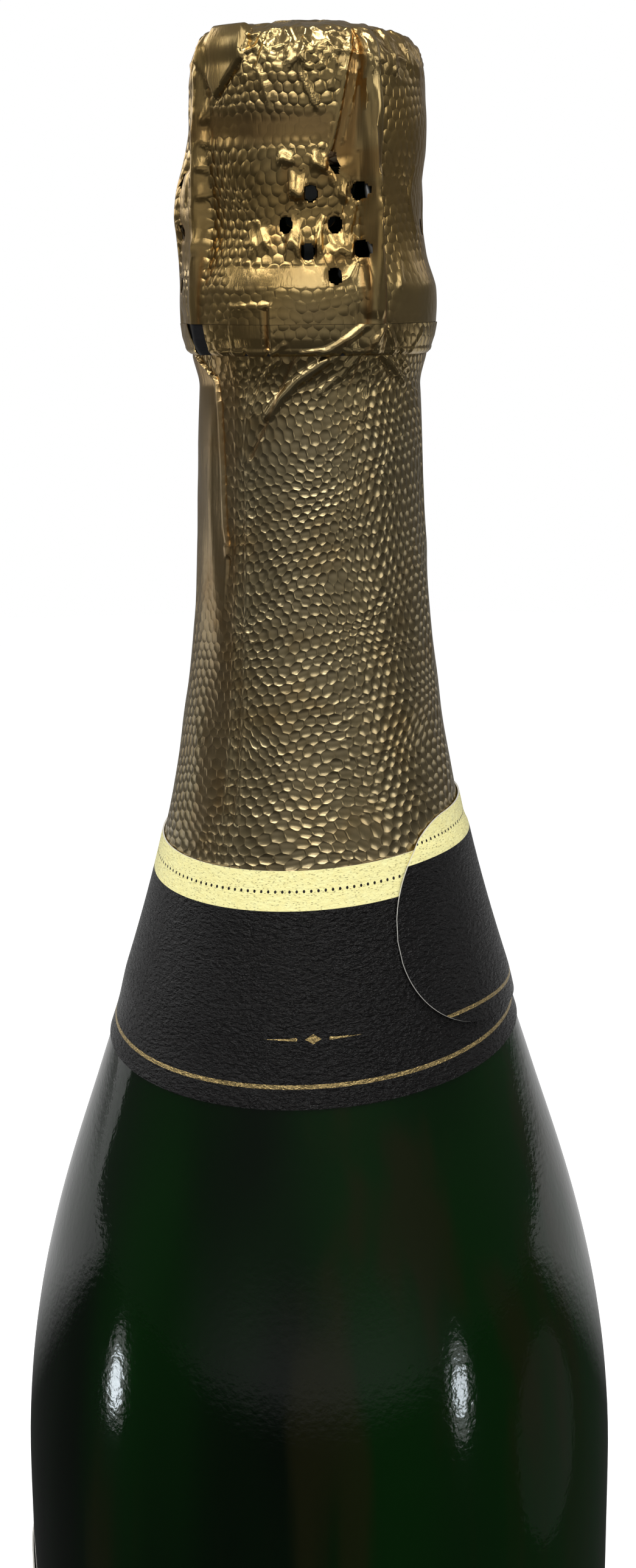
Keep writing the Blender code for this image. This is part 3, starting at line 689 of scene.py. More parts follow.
def make_world():
    """White to the camera, a soft room for the light, and in mirrors a dim room lit from above."""
    room, behind, before = 0.56, 0.17, 0.22
    world = bpy.data.worlds.new("studio")
    bpy.context.scene.world = world
    f = Shading(world, "Background", Color=(1, 1, 1, 1))
    back, up = f.parts(f.place("Generated"), 3)[1:]
    far = f.between(back, 0.60, 0.94, 0.0, behind)
    side = f.between(back, -0.55, 0.35, 0.0, 0.02)
    high = f.between(up, -0.05, 0.65, 0.055, 0.17)
    near = f.between(back, -1.0, -0.45, before, 0.0)
    low = f.between(up, -0.10, 0.22, 1.0, 0.1)
    glint = far.at_least(near * low + side + high)
    base = room + f.ray("Glossy") * (glint - room)
    clear = f.ray("Camera").at_least(f.ray("Transmission"))
    f.feed("Strength", base + clear * (1 - base))


# Name, azimuth, elevation, distance, size and radiance, and for some their aim and beam
LAMPS = (("key_box", -20, 44, 0.75, (1.00, 0.135), 5.0, (0, 0, 0.28)),
         ("front_box", -6, 27, 0.75, (0.46, 0.09), 2.1, (0, 0, 0.27)),
         ("top_box", -12, 80, 0.65, (0.30, 0.24), 8.0, (0, 0, 0.31)),
         ("left_window", -86, 24, 0.80, (0.16, 0.26), 1.1, (0, 0, 0.26)),
         ("left_rear", -134, 20, 0.40, (0.28, 0.25), 1.25, (0, 0, 0.30)),
         ("right_window", 62, 22, 0.40, (0.17, 0.30), 1.25, (0, 0, 0.30)),
         ("left_glow", -84.5, -14, 0.45, (0.09, 0.10), 0.9, (-0.027, -0.03, 0.141)),
         ("left_spark", -84.5, -14, 0.43, (0.050, 0.046), 14, (-0.027, -0.03, 0.141), 18),
         ("right_glow", 55, -10, 0.45, (0.075, 0.105), 0.9, (0.02, -0.035, 0.142)),
         ("right_spark", 55, -10, 0.43, (0.038, 0.048), 14, (0.02, -0.035, 0.142), 18),
         ("right_panel", 97, -17, 0.22, (0.13, 0.10), 0.05, (0.02, -0.03, 0.115)),
         ("left_wall", -136, 24, 1.3, (0.35, 0.45), 0.5),
         ("left_low", -126, -4, 1.2, (0.42, 0.16), 0.55),
         ("right_wall", 134, 24, 1.3, (0.35, 0.45), 0.5))

make_camera()
make_floor()
make_world()
for lamp in LAMPS:
    soft_light(*lamp)
bpy.context.scene.view_settings.view_transform = "Standard"


# Glass and wine

def bezier(a, b, c, d, count):
    """Points on a curve from a to d that leaves towards b and arrives from c."""
    t = np.linspace(0, 1, count)[:, None]
    a, b, c, d = (np.asarray(p, dtype=float) for p in (a, b, c, d))
    return a * (1 - t) ** 3 + 3 * b * t * (1 - t) ** 2 + 3 * c * t * t * (1 - t) + d * t ** 3


def arc(centre, radius, start, end, count):
    """Points on an arc between two angles in degrees."""
    turns = np.radians(np.linspace(start, end, count))
    return [(centre[0] + radius * math.cos(a), centre[1] + radius * math.sin(a)) for a in turns]


def shoulder_line():
    """Radii and heights from the neck down to the straight body."""
    body_span = SHOULDER_MID[1] - BODY_HEIGHT
    neck_span = NECK_FOOT[1] - SHOULDER_MID[1]
    start, middle, neck = (BODY_RADIUS, BODY_HEIGHT), np.array(SHOULDER_MID), np.array(NECK_FOOT)
    slant, upright = np.array([-SHOULDER_SLOPE, 1]), np.array([-NECK_SLOPE, 1])
    lower = bezier(start, (BODY_RADIUS, BODY_HEIGHT + body_span * 0.47),
                   middle - slant * body_span * 0.21, middle, 28)
    upper = bezier(middle, middle + slant * neck_span * 0.265,
                   neck - upright * neck_span * 0.50, neck, 32)
    return np.vstack([lower, upper[1:]])[::-1]


SHOULDER = shoulder_line()

# The mouth's bead, the groove below it and the wide ring, from the top down
MOUTH = [(9.7, 300.0)] + arc((13.2, 298.8), 1.2, 90, 0, 8) + [(14.4, 294.4)]
MOUTH += [(13.2, 291.95), (13.2, 287.05), (14.74, 284.9)] + arc((15.3, 283.9), 0.7, 75, 0, 6)
MOUTH += arc((15.3, 279.9), 0.7, 0, -90, 6) + [(15.0, 279.2), (14.5, 278.9), (14.3, 278.4)]
NECK_LINE = np.array([(15.0, 279.2), (14.3, 278.4)] + [tuple(p) for p in SHOULDER])


def glass_radius(height):
    """Outer radius of the glass below its ring."""
    return np.interp(height, NECK_LINE[::-1, 1], NECK_LINE[::-1, 0])


def punt(foot_radius, foot_height, count):
    """The hollow under the foot, from its edge up to its crown on the axis."""
    reach = 1 - np.linspace(0, 1, count)
    return [(foot_radius * s, foot_height + PUNT_RISE * (1 - s ** 1.7)) for s in reach]


def cavity(clearance, top):
    """The inside of the glass from a height down to the axis, less a clearance."""
    corner_radius, corner_height, corner = 30.95, 17.5, 9.0
    heights = SHOULDER[SHOULDER[:, 1] < top, 1]
    walls = 4.3 + 0.5 * ramp(heights, BODY_HEIGHT, NECK_FOOT[1])
    line = list(zip(glass_radius(heights) - walls - clearance, heights))
    line = [(line[0][0], top)] + line
    line += arc((corner_radius, corner_height), corner - clearance, 0, -90, 8)[:-1]
    return line + punt(corner_radius, corner_height - corner + 2 * clearance, 20)


def make_glass():
    """The bottle, and the wine inside it up to its level, with a little play between them."""
    fill, play = 224.0, 0.3
    inside = cavity(0.0, NECK_FOOT[1])[::-1]
    bore = [(9.2, 276.0), (8.9, 299.2)]
    heel = arc((36.25, 8.0), 8.0, 0, -60, 12)
    outline = inside + bore + MOUTH + [tuple(p) for p in SHOULDER] + heel + [(36.0, 0.0)]
    outline += punt(31.0, 0.0, 24)
    obj = turned(outline, 160)
    finish_piece(obj, "glass", "bottle", "green_glass", "glass_bottle", glass_finish())
    liquid = turned([(0, fill)] + cavity(play, fill), 128)
    finish_piece(liquid, "wine_fill", "bottle", "wine", "wine", wine_finish())


# Stopper and cage

def make_cork():
    """Mushroom head with a soft crown and belly; the discs show their own grain."""
    shank, length, thick, glue = 8.7, 37.5, 6.0, 0.15
    foot = CORK_TOP - length
    body_foot = foot + 2 * (thick + glue)
    head = flowing([(0.01, CORK_TOP), (6.0, CORK_TOP), (11.2, 313.55), (13.6, 312.3), (14.6, 309.8),
                    (HEAD_RADIUS, 306.6), (14.6, 303.4), (13.9, 301.4), (12.6, 300.5),
                    (11.6, 300.3)], 44)
    outline = [(0, CORK_TOP)] + [tuple(p) for p in head[1:]]
    outline += [(9.1, 300.3), (shank, 299.9), (shank, body_foot + 0.2), (shank - 0.2, body_foot)]
    outline += [(0, body_foot)]
    obj = turned(outline, 112)
    points = points_of(obj)
    height = points[:, 2] / MM
    rough = value_noise(angles_of(points) / 10, height * 0.7, 5, 36)
    on_head = ramp(height, 301.2, 303.5) * (1 - ramp(height, 312.5, 313.5))
    points[:, :2] *= (1 - 0.006 * rough * on_head)[:, None]
    move_points(obj, points)
    finish_piece(obj, "cork_stopper", "cork", "agglomerate_cork", "cork_body", agglomerate_finish())
    finish = natural_cork_finish()
    for level, low in (("lower", foot), ("upper", foot + thick + glue)):
        edge = [(shank - 0.35, 0.0), (shank - 0.1, 0.1), (shank, 0.4)]
        disc = [(0, low + thick)] + [(r, low + thick - z) for r, z in edge]
        disc += [(r, low + z) for r, z in edge[::-1]] + [(0, low)]
        obj = turned(disc, 96)
        finish_piece(obj, f"natural_disc_{level}", "cork", "natural_cork", f"cork_disc_{level}", finish)


def make_plate():
    """The cap plate, pressed with a raised middle and a channel for the wire."""
    top = [(0, 316.05), (4.0, 316.03), (8.0, 315.92), (10.4, 315.78), (11.0, 315.6), (11.7, 315.1),
           (12.1, 314.95), (13.6, 314.95), (14.1, 314.85), (14.35, 314.6), (14.4, 314.3), (14.4, 313.6)]
    below = [(14.0, 313.6), (14.0, 314.2), (13.85, 314.42), (13.4, 314.5), (12.0, 314.5),
             (11.5, 314.72), (10.8, 315.2), (10.2, 315.36), (8.0, 315.5), (0, 315.64)]
    obj = turned(top + below, 112)
    finish_piece(obj, "pressed_plate", "cage", "tinplate", "cap_plate", plate_finish())


def leg_axis(share):
    """Radius and height down a leg: slanting to the glass ring, then upright past it."""
    foot = RING_UNDER + PAIR_RADIUS
    height = LEG_TOP_HEIGHT + (foot - LEG_TOP_HEIGHT) * share
    slope = np.minimum(1.0, (LEG_TOP_HEIGHT - height) / (LEG_TOP_HEIGHT - RING_TOP))
    return LEG_TOP_RADIUS + (LEG_RADIUS - LEG_TOP_RADIUS) * slope, height


def beside(angle, radius, side, height):
    """Points beside an angle: side is measured round the axis."""
    return around(angle + np.degrees(side / radius), radius, height)


def make_cage():
    """One wire: arcs in the plate's channel, twisted pairs as legs, an eye round the belt."""
    rise = RING_HEIGHT - LEG_TOP_HEIGHT

    def bend(leg, sign):
        side = sign * STRAND_OFFSET
        out = (LEG_TOP_RADIUS + CHANNEL_RADIUS) / 2 + CAGE_WIRE / 2
        ends = [(LEG_TOP_RADIUS, side, LEG_TOP_HEIGHT),
                (LEG_TOP_RADIUS, side, LEG_TOP_HEIGHT + rise * 0.55),
                (out, side * 1.2, LEG_TOP_HEIGHT + rise * 0.92),
                (CHANNEL_RADIUS + CAGE_WIRE, side * 2, RING_HEIGHT),
                (CHANNEL_RADIUS, side * 5, RING_HEIGHT)]
        return beside(leg, *flowing(ends, 9)[1:].T)

    def strand(leg, sign):
        share = np.linspace(0, 1, 43)
        radius, height = leg_axis(share)
        turn = np.radians(90 * sign + 360 * 3 * share)
        return beside(leg, radius + STRAND_OFFSET * np.cos(turn), STRAND_OFFSET * np.sin(turn), height)

    def eye(leg):
        share = np.linspace(0, 1, 16)
        turn = np.radians(-310 * share)
        return beside(leg, BELT_RADIUS + EYE_RADIUS * np.cos(turn), STRAND_OFFSET * (2 * share - 1),
                      BELT_HEIGHT + EYE_RADIUS * np.sin(turn))

    runs = []
    for leg in LEG_ANGLES:
        runs += [bend(leg, -1)[::-1], strand(leg, -1), eye(leg), strand(leg, 1)[::-1], bend(leg, 1)]
        runs.append(around(leg + np.linspace(13.5, 76.5, 9), CHANNEL_RADIUS, RING_HEIGHT))
    obj = tube(np.vstack(runs), CAGE_WIRE)
    finish_piece(obj, "twisted_cage", "cage", "steel_wire", "cage_wire", wire_finish())


def make_belt():
    """The belt under the glass ring, its two ends twisted and looped up for the hand."""
    offset = BELT_WIRE + WIRE_GAP / 2
    stem_foot, stem = RING_TOP + WIRE_GAP, 4.6
    stem_radius = LOOP_RADIUS - offset
    loop_half, loop_rise = 3.3, 3.75

    def rise(sign):
        ends = [((BELT_RADIUS + LOOP_RADIUS) / 2, sign * 2 * offset, BELT_HEIGHT + BELT_WIRE / 4),
                (LOOP_RADIUS, sign * offset, RING_UNDER), (LOOP_RADIUS, sign * offset, stem_foot)]
        return beside(LOOP_ANGLE, *flowing(ends, 7).T)

    def twist(sign):
        share = np.linspace(0, 1, 15)[1:]
        turn = np.radians(90 * sign + 360 * share)
        return beside(LOOP_ANGLE, stem_radius + offset * np.cos(turn), offset * np.sin(turn),
                      stem_foot + stem * share)

    ring = around(LOOP_ANGLE + np.linspace(12, 348, 64), BELT_RADIUS, BELT_HEIGHT)
    turn = np.radians(np.linspace(250, -70, 33))
    loop = beside(LOOP_ANGLE, stem_radius + offset / 2, loop_half * np.cos(turn),
                  stem_foot + stem + BELT_WIRE + loop_rise * (1 + np.sin(turn)))
    runs = [ring, rise(-1), twist(-1), loop, twist(1)[::-1], rise(1)[::-1]]
    obj = tube(np.vstack(runs), BELT_WIRE)
    finish_piece(obj, "belt_loop", "cage", "steel_wire", "belt_wire", wire_finish())


# Foil

# Radii and heights of the hood, from the top's middle to its foot. Each pair of one outline blends
# into the pair at the same place in the others.
HOOD_PLAIN = [(0.05, 318.45), (4.5, 318.4), (8.7, 318.15), (12.7, 317.35), (14.3, 316.2),
              (15.6, 313.6), (16.05, 309.5), (16.1, 305), (15.95, 300.3), (15.75, 297.8),
              (15.5, 294.4), (15.65, 291.5), (16.35, 288.4), (17.0, 286.0), (17.3, 284.6),
              (17.4, 282.4), (17.35, HOOD_FOOT)]
HOOD_ROUNDED = [(0.05, 318.45), (4.5, 318.4), (8.3, 318.1), (11.9, 317.1), (13.7, 315.95),
                (15.0, 313.3), (15.5, 309.5), (15.75, 305), (15.35, 300.3), (15.1, 297.8),
                (15.1, 294.4), (15.35, 291.5), (15.90, 288.4), (16.74, 286.0), (17.1, 284.6),
                (17.2, 282.4), (17.1, HOOD_FOOT)]
HOOD_OVER_LEG = [(0.05, 318.45), (4.5, 318.4), (8.7, 318.15), (13.6, 317.35), (15.7, 316.0),
                 (16.95, 313.3), (17.3, 309.5), (17.55, 305), (17.7, 300.3), (17.8, 297.8),
                 (17.95, 294.4), (18.05, 291.5), (18.19, 288.4), (18.28, 286.0), (18.32, 284.6),
                 (18.32, 282.4), (18.3, HOOD_FOOT)]
HOOD_OVER_LOOP = [(0.05, 318.45), (4.5, 318.4), (8.7, 318.15), (12.6, 317.2), (14.2, 316.1),
                  (15.35, 313.6), (15.9, 309.5), (16.25, 305), (17.2, 300.5), (17.95, 297.8),
                  (18.35, 294.4), (18.1, 291.5), (17.86, 288.4), (17.81, 286.0), (17.85, 284.6),
                  (17.9, 282.4), (17.85, HOOD_FOOT)]


def rounded_side(angle):
    """1 on the right side, where the foil is pressed round, and 0 elsewhere."""
    return 1 - ramp(np.abs(apart(angle, 88)), 30, 75)


def over_legs(angle):
    """1 over the middle of a leg of the cage, rounding to 0 between the legs."""
    reach = 6.6
    share = np.min([np.abs(apart(angle, leg)) for leg in LEG_ANGLES], axis=0) / reach
    return np.clip(1 - share * share, 0, 1) ** 2


def over_loop(angle, height):
    """1 over the loop; towards the nearest leg the foil stays drawn out between the two."""
    half = np.interp(height, [279, 285, 289, 293, 297, 299, 304], [4, 4.5, 11, 14.5, 13, 10, 8])
    loop = 1 - ramp(np.abs(apart(angle, LOOP_ANGLE)), half, half + 9.0)
    tent = 0.74 * window(apart(angle, 0), LOOP_ANGLE, -65.0, 3.0) * window(height, 283, 299, 2)
    return np.maximum(loop, tent)


def set_share(obj, name, values):
    layer = obj.data.attributes.new(name, "FLOAT", "POINT")
    layer.data.foreach_set("value", np.clip(values, 0, 1).astype(np.float32))


def set_uv(obj, across, up):
    """Writes a UV map from one pair of values for each point."""
    corner = np.empty(len(obj.data.loops), dtype=np.int32)
    obj.data.loops.foreach_get("vertex_index", corner)
    pairs = np.stack([across[corner], up[corner]], axis=-1)
    obj.data.uv_layers.active.data.foreach_set("uv", pairs.ravel())


def pebble_map(across, up, tilt):
    """Places in the rows of pebbles, whose unit is one pebble; the rows lean and waver."""
    bend = 2.2 * value_noise(across / 9 + 40, up / 9 + 40, 51)
    bend += 0.8 * value_noise(across / 3.4 + 40, up / 3.4 + 40, 52)
    sway = 1.6 * value_noise(across / 8 + 40, up / 6 + 40, 53)
    c, s = math.cos(math.radians(tilt)), math.sin(math.radians(tilt))
    column = (across * c + up * s + sway) / PEBBLE_PITCH[0]
    row = (up * c - across * s + bend) / PEBBLE_PITCH[1]
    return column, row


def finish_foil(obj, thickness, name, slot, node, material):
    """Gives a foil or tape of the hood its thickness, inwards, and finishes it."""
    add_modifier(obj, "SOLIDIFY", thickness=thickness * MM, offset=-1.0)
    shade(obj, 60)
    finish_piece(obj, name, "hood", slot, node, material)


def front_loaded(share):
    """Angles from -180 to 180 that lie closer together at the front."""
    turn = 2 * np.pi * (share - 0.5)
    return np.degrees(turn - 0.36 * np.sin(turn))


def strongest(angle, height, routes):
    """The highest of several creases, each a route, a width and a lift."""
    best = np.zeros(angle.shape)
    for route, width, lift in routes:
        best = np.maximum(best, lift * crease(angle, height, route, width))
    return best


# Creases of the hood: the angles and heights that each runs through, half its width and its lift
GATHERS = (([(-1, 316.2), (-4.5, 311.5), (3, 307.2)], 0.55, 0.34),
           ([(-20, 316), (-24, 312), (-18.5, 308)], 0.60, 0.36),
           ([(-34, 313.8), (-26, 314.6), (-22, 316.4)], 0.50, 0.30),
           ([(8, 316.5), (12, 312.5), (10, 309.5)], 0.50, 0.26),
           ([(44, 316), (46, 311.5)], 0.60, 0.26), ([(57, 316.2), (62, 312)], 0.60, 0.24),
           ([(-70, 315), (-69, 305), (-71, 296)], 0.80, 0.26), ([(-60, 307), (-66, 299)], 0.60, 0.18),
           ([(-45, 316.4), (-30, 316.0), (-12, 316.9)], 0.45, 0.22),
           ([(2, 316.8), (14, 315.9), (22, 316.6)], 0.45, 0.24),
           ([(-12, 316.6), (-8, 315.2), (-10, 313.4)], 0.40, 0.28),
           ([(64, 300), (60, 296.5), (66, 292)], 0.70, 0.24), ([(48, 289), (44, 285)], 0.7, 0.16))
PULLS = (([(22.3, 288.4), (17, 286.0), (11, 285.4)], 0.6, 1),
         ([(10.3, 298.8), (14, 295.4), (16, 290.5)], 0.6, 1), ([(7.0, 293.4), (2.0, 290.2)], 0.6, 1),
         ([(22, 295.4), (17.5, 291)], 0.6, 1), ([(-26, 293), (-20, 290)], 0.8, 0.7))
PLEAT_LINES = (([(25.4, 316), (26.6, 310), (28.6, 302), (30.6, 290)], 0.45, 0.34),
               ([(25.6, 315), (24.8, 309), (22.5, 302)], 0.40, 0.26),
               ([(30.6, 315), (31.8, 306), (31.0, 298)], 0.40, 0.20),
               ([(24.0, 313.6), (19.6, 307.5), (15.0, 302.8)], 0.35, 0.22),
               ([(33.6, 314), (34.2, 300), (33.8, 288)], 0.40, 0.30))

# Facets pressed flat: angle, height, half a width in degrees, half a height and its lift
FACETS = ((-10.9, 301.3, 4.2, 0.65, 0.60), (4.4, 300.9, 4.2, 0.90, 0.75),
          (-5.6, 297.9, 4.6, 1.30, 1.05), (-7.4, 291.9, 4.2, 1.90, 0.95),
          (15.4, 290.4, 6.0, 1.10, 0.60), (-24.5, 291.3, 6.5, 1.20, 0.40),
          (30.8, 299.0, 2.2, 1.00, 0.60), (30.6, 295.3, 2.2, 0.80, 0.50),
          (15.6, 297.6, 2.0, 1.20, 0.75), (4.2, 291.6, 1.8, 1.70, 0.80),
          (-6.5, 313.6, 4.6, 0.90, 0.45), (-15.0, 315.3, 5.5, 0.70, 0.30),
          (7.0, 315.6, 5.5, 0.70, 0.30), (-55.5, 307.5, 2.2, 1.20, 0.60),
          (-56.0, 304.0, 2.2, 0.90, 0.50), (-57.0, 301.0, 2.0, 0.80, 0.50),
          (-57.0, 297.4, 2.2, 1.00, 0.60), (-58.0, 292.0, 1.6, 2.20, 0.90))


def facets(angle, height):
    """Relief and cover of the facets; each leans out evenly to its foot and ends there."""
    lift, cover = np.zeros(angle.shape), np.zeros(angle.shape)
    for middle, level, wide, tall, out in FACETS:
        aside = np.abs(apart(angle, middle)) / wide
        down = (level + tall - height) / (2 * tall) + 0.12 * np.sin(angle * 0.9 + level)
        shape = 1 - ramp(aside, 0.55, 1.15)
        lift += out * shape * np.clip(down, 0, 1) * (1 - ramp(down, 0.9, 1.5))
        cover = np.maximum(cover, shape * window(down, -0.1, 1.1, 0.2))
    return lift, cover


def pleat_edge(height):
    """Angle of the pleat's left edge, which leans to the right as it rises."""
    return np.interp(height, [301.6, 305.4, 311.4, 316.2], [10.3, 13.8, 17.8, 22.6])


def embossed(angle):
    """Shares of the embossed rectangle, of the field inside it and of the groove near its right edge."""
    return (window(angle, -37.5, -16.5, 0.5), window(angle, -36.0, -21.5, 0.5),
            window(angle, -20.0, -18.5, 0.8))


def hood_relief(angle, height, path):
    """Outward relief of the hood in millimetres, its pebble share, and its stretch share of painted shade
    and inter-reflection.
    """
    near_leg = over_legs(angle)
    top = ramp(height, 308.0, 315.5) * (1 - 0.7 * ramp(height, 316.6, 317.6))
    folds = ridges(angle / 360 * 30 + 0.10 * (height - 300), path * 0.08 + 3, 11, 30)
    crumple = ridges(angle / 360 * 54 + 0.45 * path, path * 0.40, 12, 54)
    dent = value_noise(angle / 360 * 40, path * 0.36, 15, 40) - 0.5
    patch = value_noise(angle * 0.16, height * 0.26, 18) - 0.5
    out = top * (0.36 * ramp(folds, 0.6, 1.0) + 0.29 * ramp(crumple, 0.45, 1.0)) + 0.16 * dent

    # The pleat: a wedge and the lip at its left, a band over the leg, and fine lines down both
    left_edge = pleat_edge(height)
    right_edge = np.interp(height, [301.6, 308, 316.2], [19.5, 22.5, 24.6])
    inward = ramp(angle, left_edge - 0.5, left_edge + 0.5)
    wedge = inward * (1 - ramp(angle, right_edge, right_edge + 2)) * window(height, 301.6, 316.0, 2.0)
    lip = window(angle - left_edge, -2.2, -0.8, 0.9) * window(height, 302.5, 315.0, 2.0)
    band = window(angle, 24.5, 33.4, 0.8) * window(height, 282, 316.2, 1.5)
    sleek = inward * (1 - ramp(angle, 33.4, 34.4)) * window(height, 299.0, 316.6, 1.5)
    grain = value_noise(angle * 0.36 + 0.04 * height, height * 0.15, 17) - 0.5
    lines = strongest(angle, height, PLEAT_LINES)
    step = 0.30 * (1 - ramp(angle, 33.0, 34.6)) * ramp(angle, 8, 22) * window(height, 284, 314, 3)
    out += (1.10 * grain + 0.80 * patch + 0.25) * band - 0.34 * wedge + 0.24 * lip + step + lines

    # The smooth stretch pressed in below the head
    waver = 0.7 * value_noise(angle / 360 * 22, 0.0, 16, 22)
    slack = window(angle, -62, 8, 8) * window(height + waver, 304.6, 305.8, 2.4)
    out -= 0.20 * slack

    # The flap at the upper left, turned down to a point, and the groove under its edge
    tip = np.interp(angle, [-62, -48.5, -32.5], [313.6, 308.6, 313.6])
    flap = ramp(height, tip - 0.10, tip + 0.16) * window(angle, -61, -33.5, 0.8)
    flap *= 1 - ramp(height, 316.6, 317.8)
    under = strongest(angle, height, (([(-32.3, 313.3), (-48.5, 308.3)], 0.40, 1.0),))
    upright = 0.42 + 1.15 * ramp(height, 312.6, 316.4) * (1 - near_leg) ** 2
    out = out * (1 - flap) + upright * flap - 0.45 * under * (1 - flap)

    # Creases, facets, and the embossed rectangle above the notch
    gathers = strongest(angle, height, GATHERS)
    pulls = strongest(angle, height, PULLS)
    beside_leg = strongest(angle, height, (([(23.6, 288.6), (22.6, 285), (24.4, 281.4)], 0.5, 1.0),))
    facet, flat = facets(angle, height)
    out += gathers * (1 - flap) + 0.24 * pulls + 0.24 * beside_leg + facet
    tongue, inner, groove = embossed(angle)
    tongue = tongue * window(height, 274, 282.4, 0.9)
    inner = inner * window(height, 274, 281.6, 0.7)
    groove = groove * window(height, 274, 282.0, 0.5)
    out += (0.18 * tongue - 0.10 * inner) * (1.0 + 1.2 * patch) - 0.30 * groove

    # Dimples round the air holes, and dents down the left
    holes = np.max([1 - ramp(np.hypot(np.radians(apart(angle, a)) * WALL_RADIUS, height - h), 0.7, 1.7)
                    for a, h in all_vents()], axis=0)
    left_strip = window(angle, -78, -57, 2) * window(height, 288, 314, 2)
    blobs = value_noise(angle * 0.10 + 3, height * 0.24, 19) - 0.5
    out += 0.55 * left_strip * blobs - 0.12 * holes * (1 - near_leg)

    # How far the pebbles stand: less where the foil is pulled, pressed or creased
    punched = window(angle, -22, 30, 5) * window(height, 288.5, 301.5, 1.2)
    flare = window(height, 285.1, 287.3, 0.9) * window(angle, -35, 22, 10)
    legs = ramp(near_leg, 0.05, 0.5) * (1 - ramp(height, 292, 296))
    low_wall = 0.6 * (1 - ramp(height, 284.8, 286.4))
    smoothed = np.max([0.85 * slack, band, wedge, sleek, low_wall, lip, 2.6 * lines, 0.7 * tongue,
                       groove, flap, legs, 0.95 * flare, 0.8 * pulls, 0.45 * punched, 2.2 * gathers,
                       holes, 0.95 * flat, 0.9 * left_strip, 0.74 * ramp(height, 313.6, 315.6)], axis=0)
    faint = 0.58 * ramp(angle, 33, 42) * (1 - ramp(np.abs(angle), 120, 140))
    uneven = 0.7 + 0.3 * value_noise(angle / 360 * 26, path * 0.22, 14, 26)
    dots = (1 - np.minimum(smoothed, 1)) * (uneven - faint)

    # Browner where the foil is stretched over the legs' flanks, and, as painted shade and inter-reflection,
    # in the wedge, grooves, dimples, dents, slack belt and the crease beside a leg
    flanks = ramp(near_leg, 0.08, 0.3) * (1 - ramp(near_leg, 0.45, 0.7)) * (1 - ramp(height, 287, 291))
    stretch = np.max([0.5 * wedge * (1 - 2.4 * lines), 0.7 * flanks, 0.45 * groove, 0.3 * holes,
                      0.35 * punched * ramp(dent, 0.0, 0.4) * (1 - flat), 0.5 * beside_leg, 0.3 * slack,
                      0.4 * left_strip * ramp(blobs, 0.0, 0.4)], axis=0)

    # Dents stop short of the cage, and the relief fades out where the foil's edges meet behind
    out = np.maximum(out, -0.15 - 0.6 * (1 - ramp(near_leg, 0.1, 0.5)))
    return out * ramp(np.abs(apart(angle, 180)), 0.5, 4.0), dots, stretch


# Angles and heights of the air holes in front and at the left, and the spacing of the others
VENTS_FRONT = [(11.2, 300.4), (0.5, 296.6), (23.2, 296.9), (-11.4, 292.7), (12.0, 292.7),
               (34.4, 293.6), (-1.0, 289.3), (23.5, 289.6), (11.0, 286.3)]
VENTS_LEFT = [(-81.0, 298.9), (-99.0, 295.9), (-77.5, 292.1), (-112.0, 292.4), (-95.0, 288.8),
              (-81.0, 285.2)]
VENT_STEP, VENT_RISE, VENT_MIDDLE = 10.85, 3.6, 292.6


def all_vents():
    """Angles and heights of the air holes: two clusters as listed, two more set out like the first."""
    vents = VENTS_FRONT + VENTS_LEFT
    for middle in (102.0, 192.0):
        for row in range(-2, 3):
            for number in range(3 - abs(row)):
                side = (2 * number - 2 + abs(row)) * VENT_STEP
                vents.append((middle + side, VENT_MIDDLE + row * VENT_RISE))
    return vents


def drawn_along(angle, low, middle, high, target):
    """Angles slid so that the one at the middle lies on a target, and low and high stay."""
    before = low + (angle - low) * (target - low) / (middle - low)
    after = target + (angle - middle) * (high - target) / (high - middle)
    inside = (angle > low) & (angle < high)
    return np.where(inside, np.where(angle < middle, before, after), angle)


def hood_rows(share, length):
    """Distances along the outline: few over the flat top, most down the side."""
    return np.interp(share, [0, 0.10, 0.30, 0.86, 1.0], [0, 11.5, 17.5, 45.0, length])


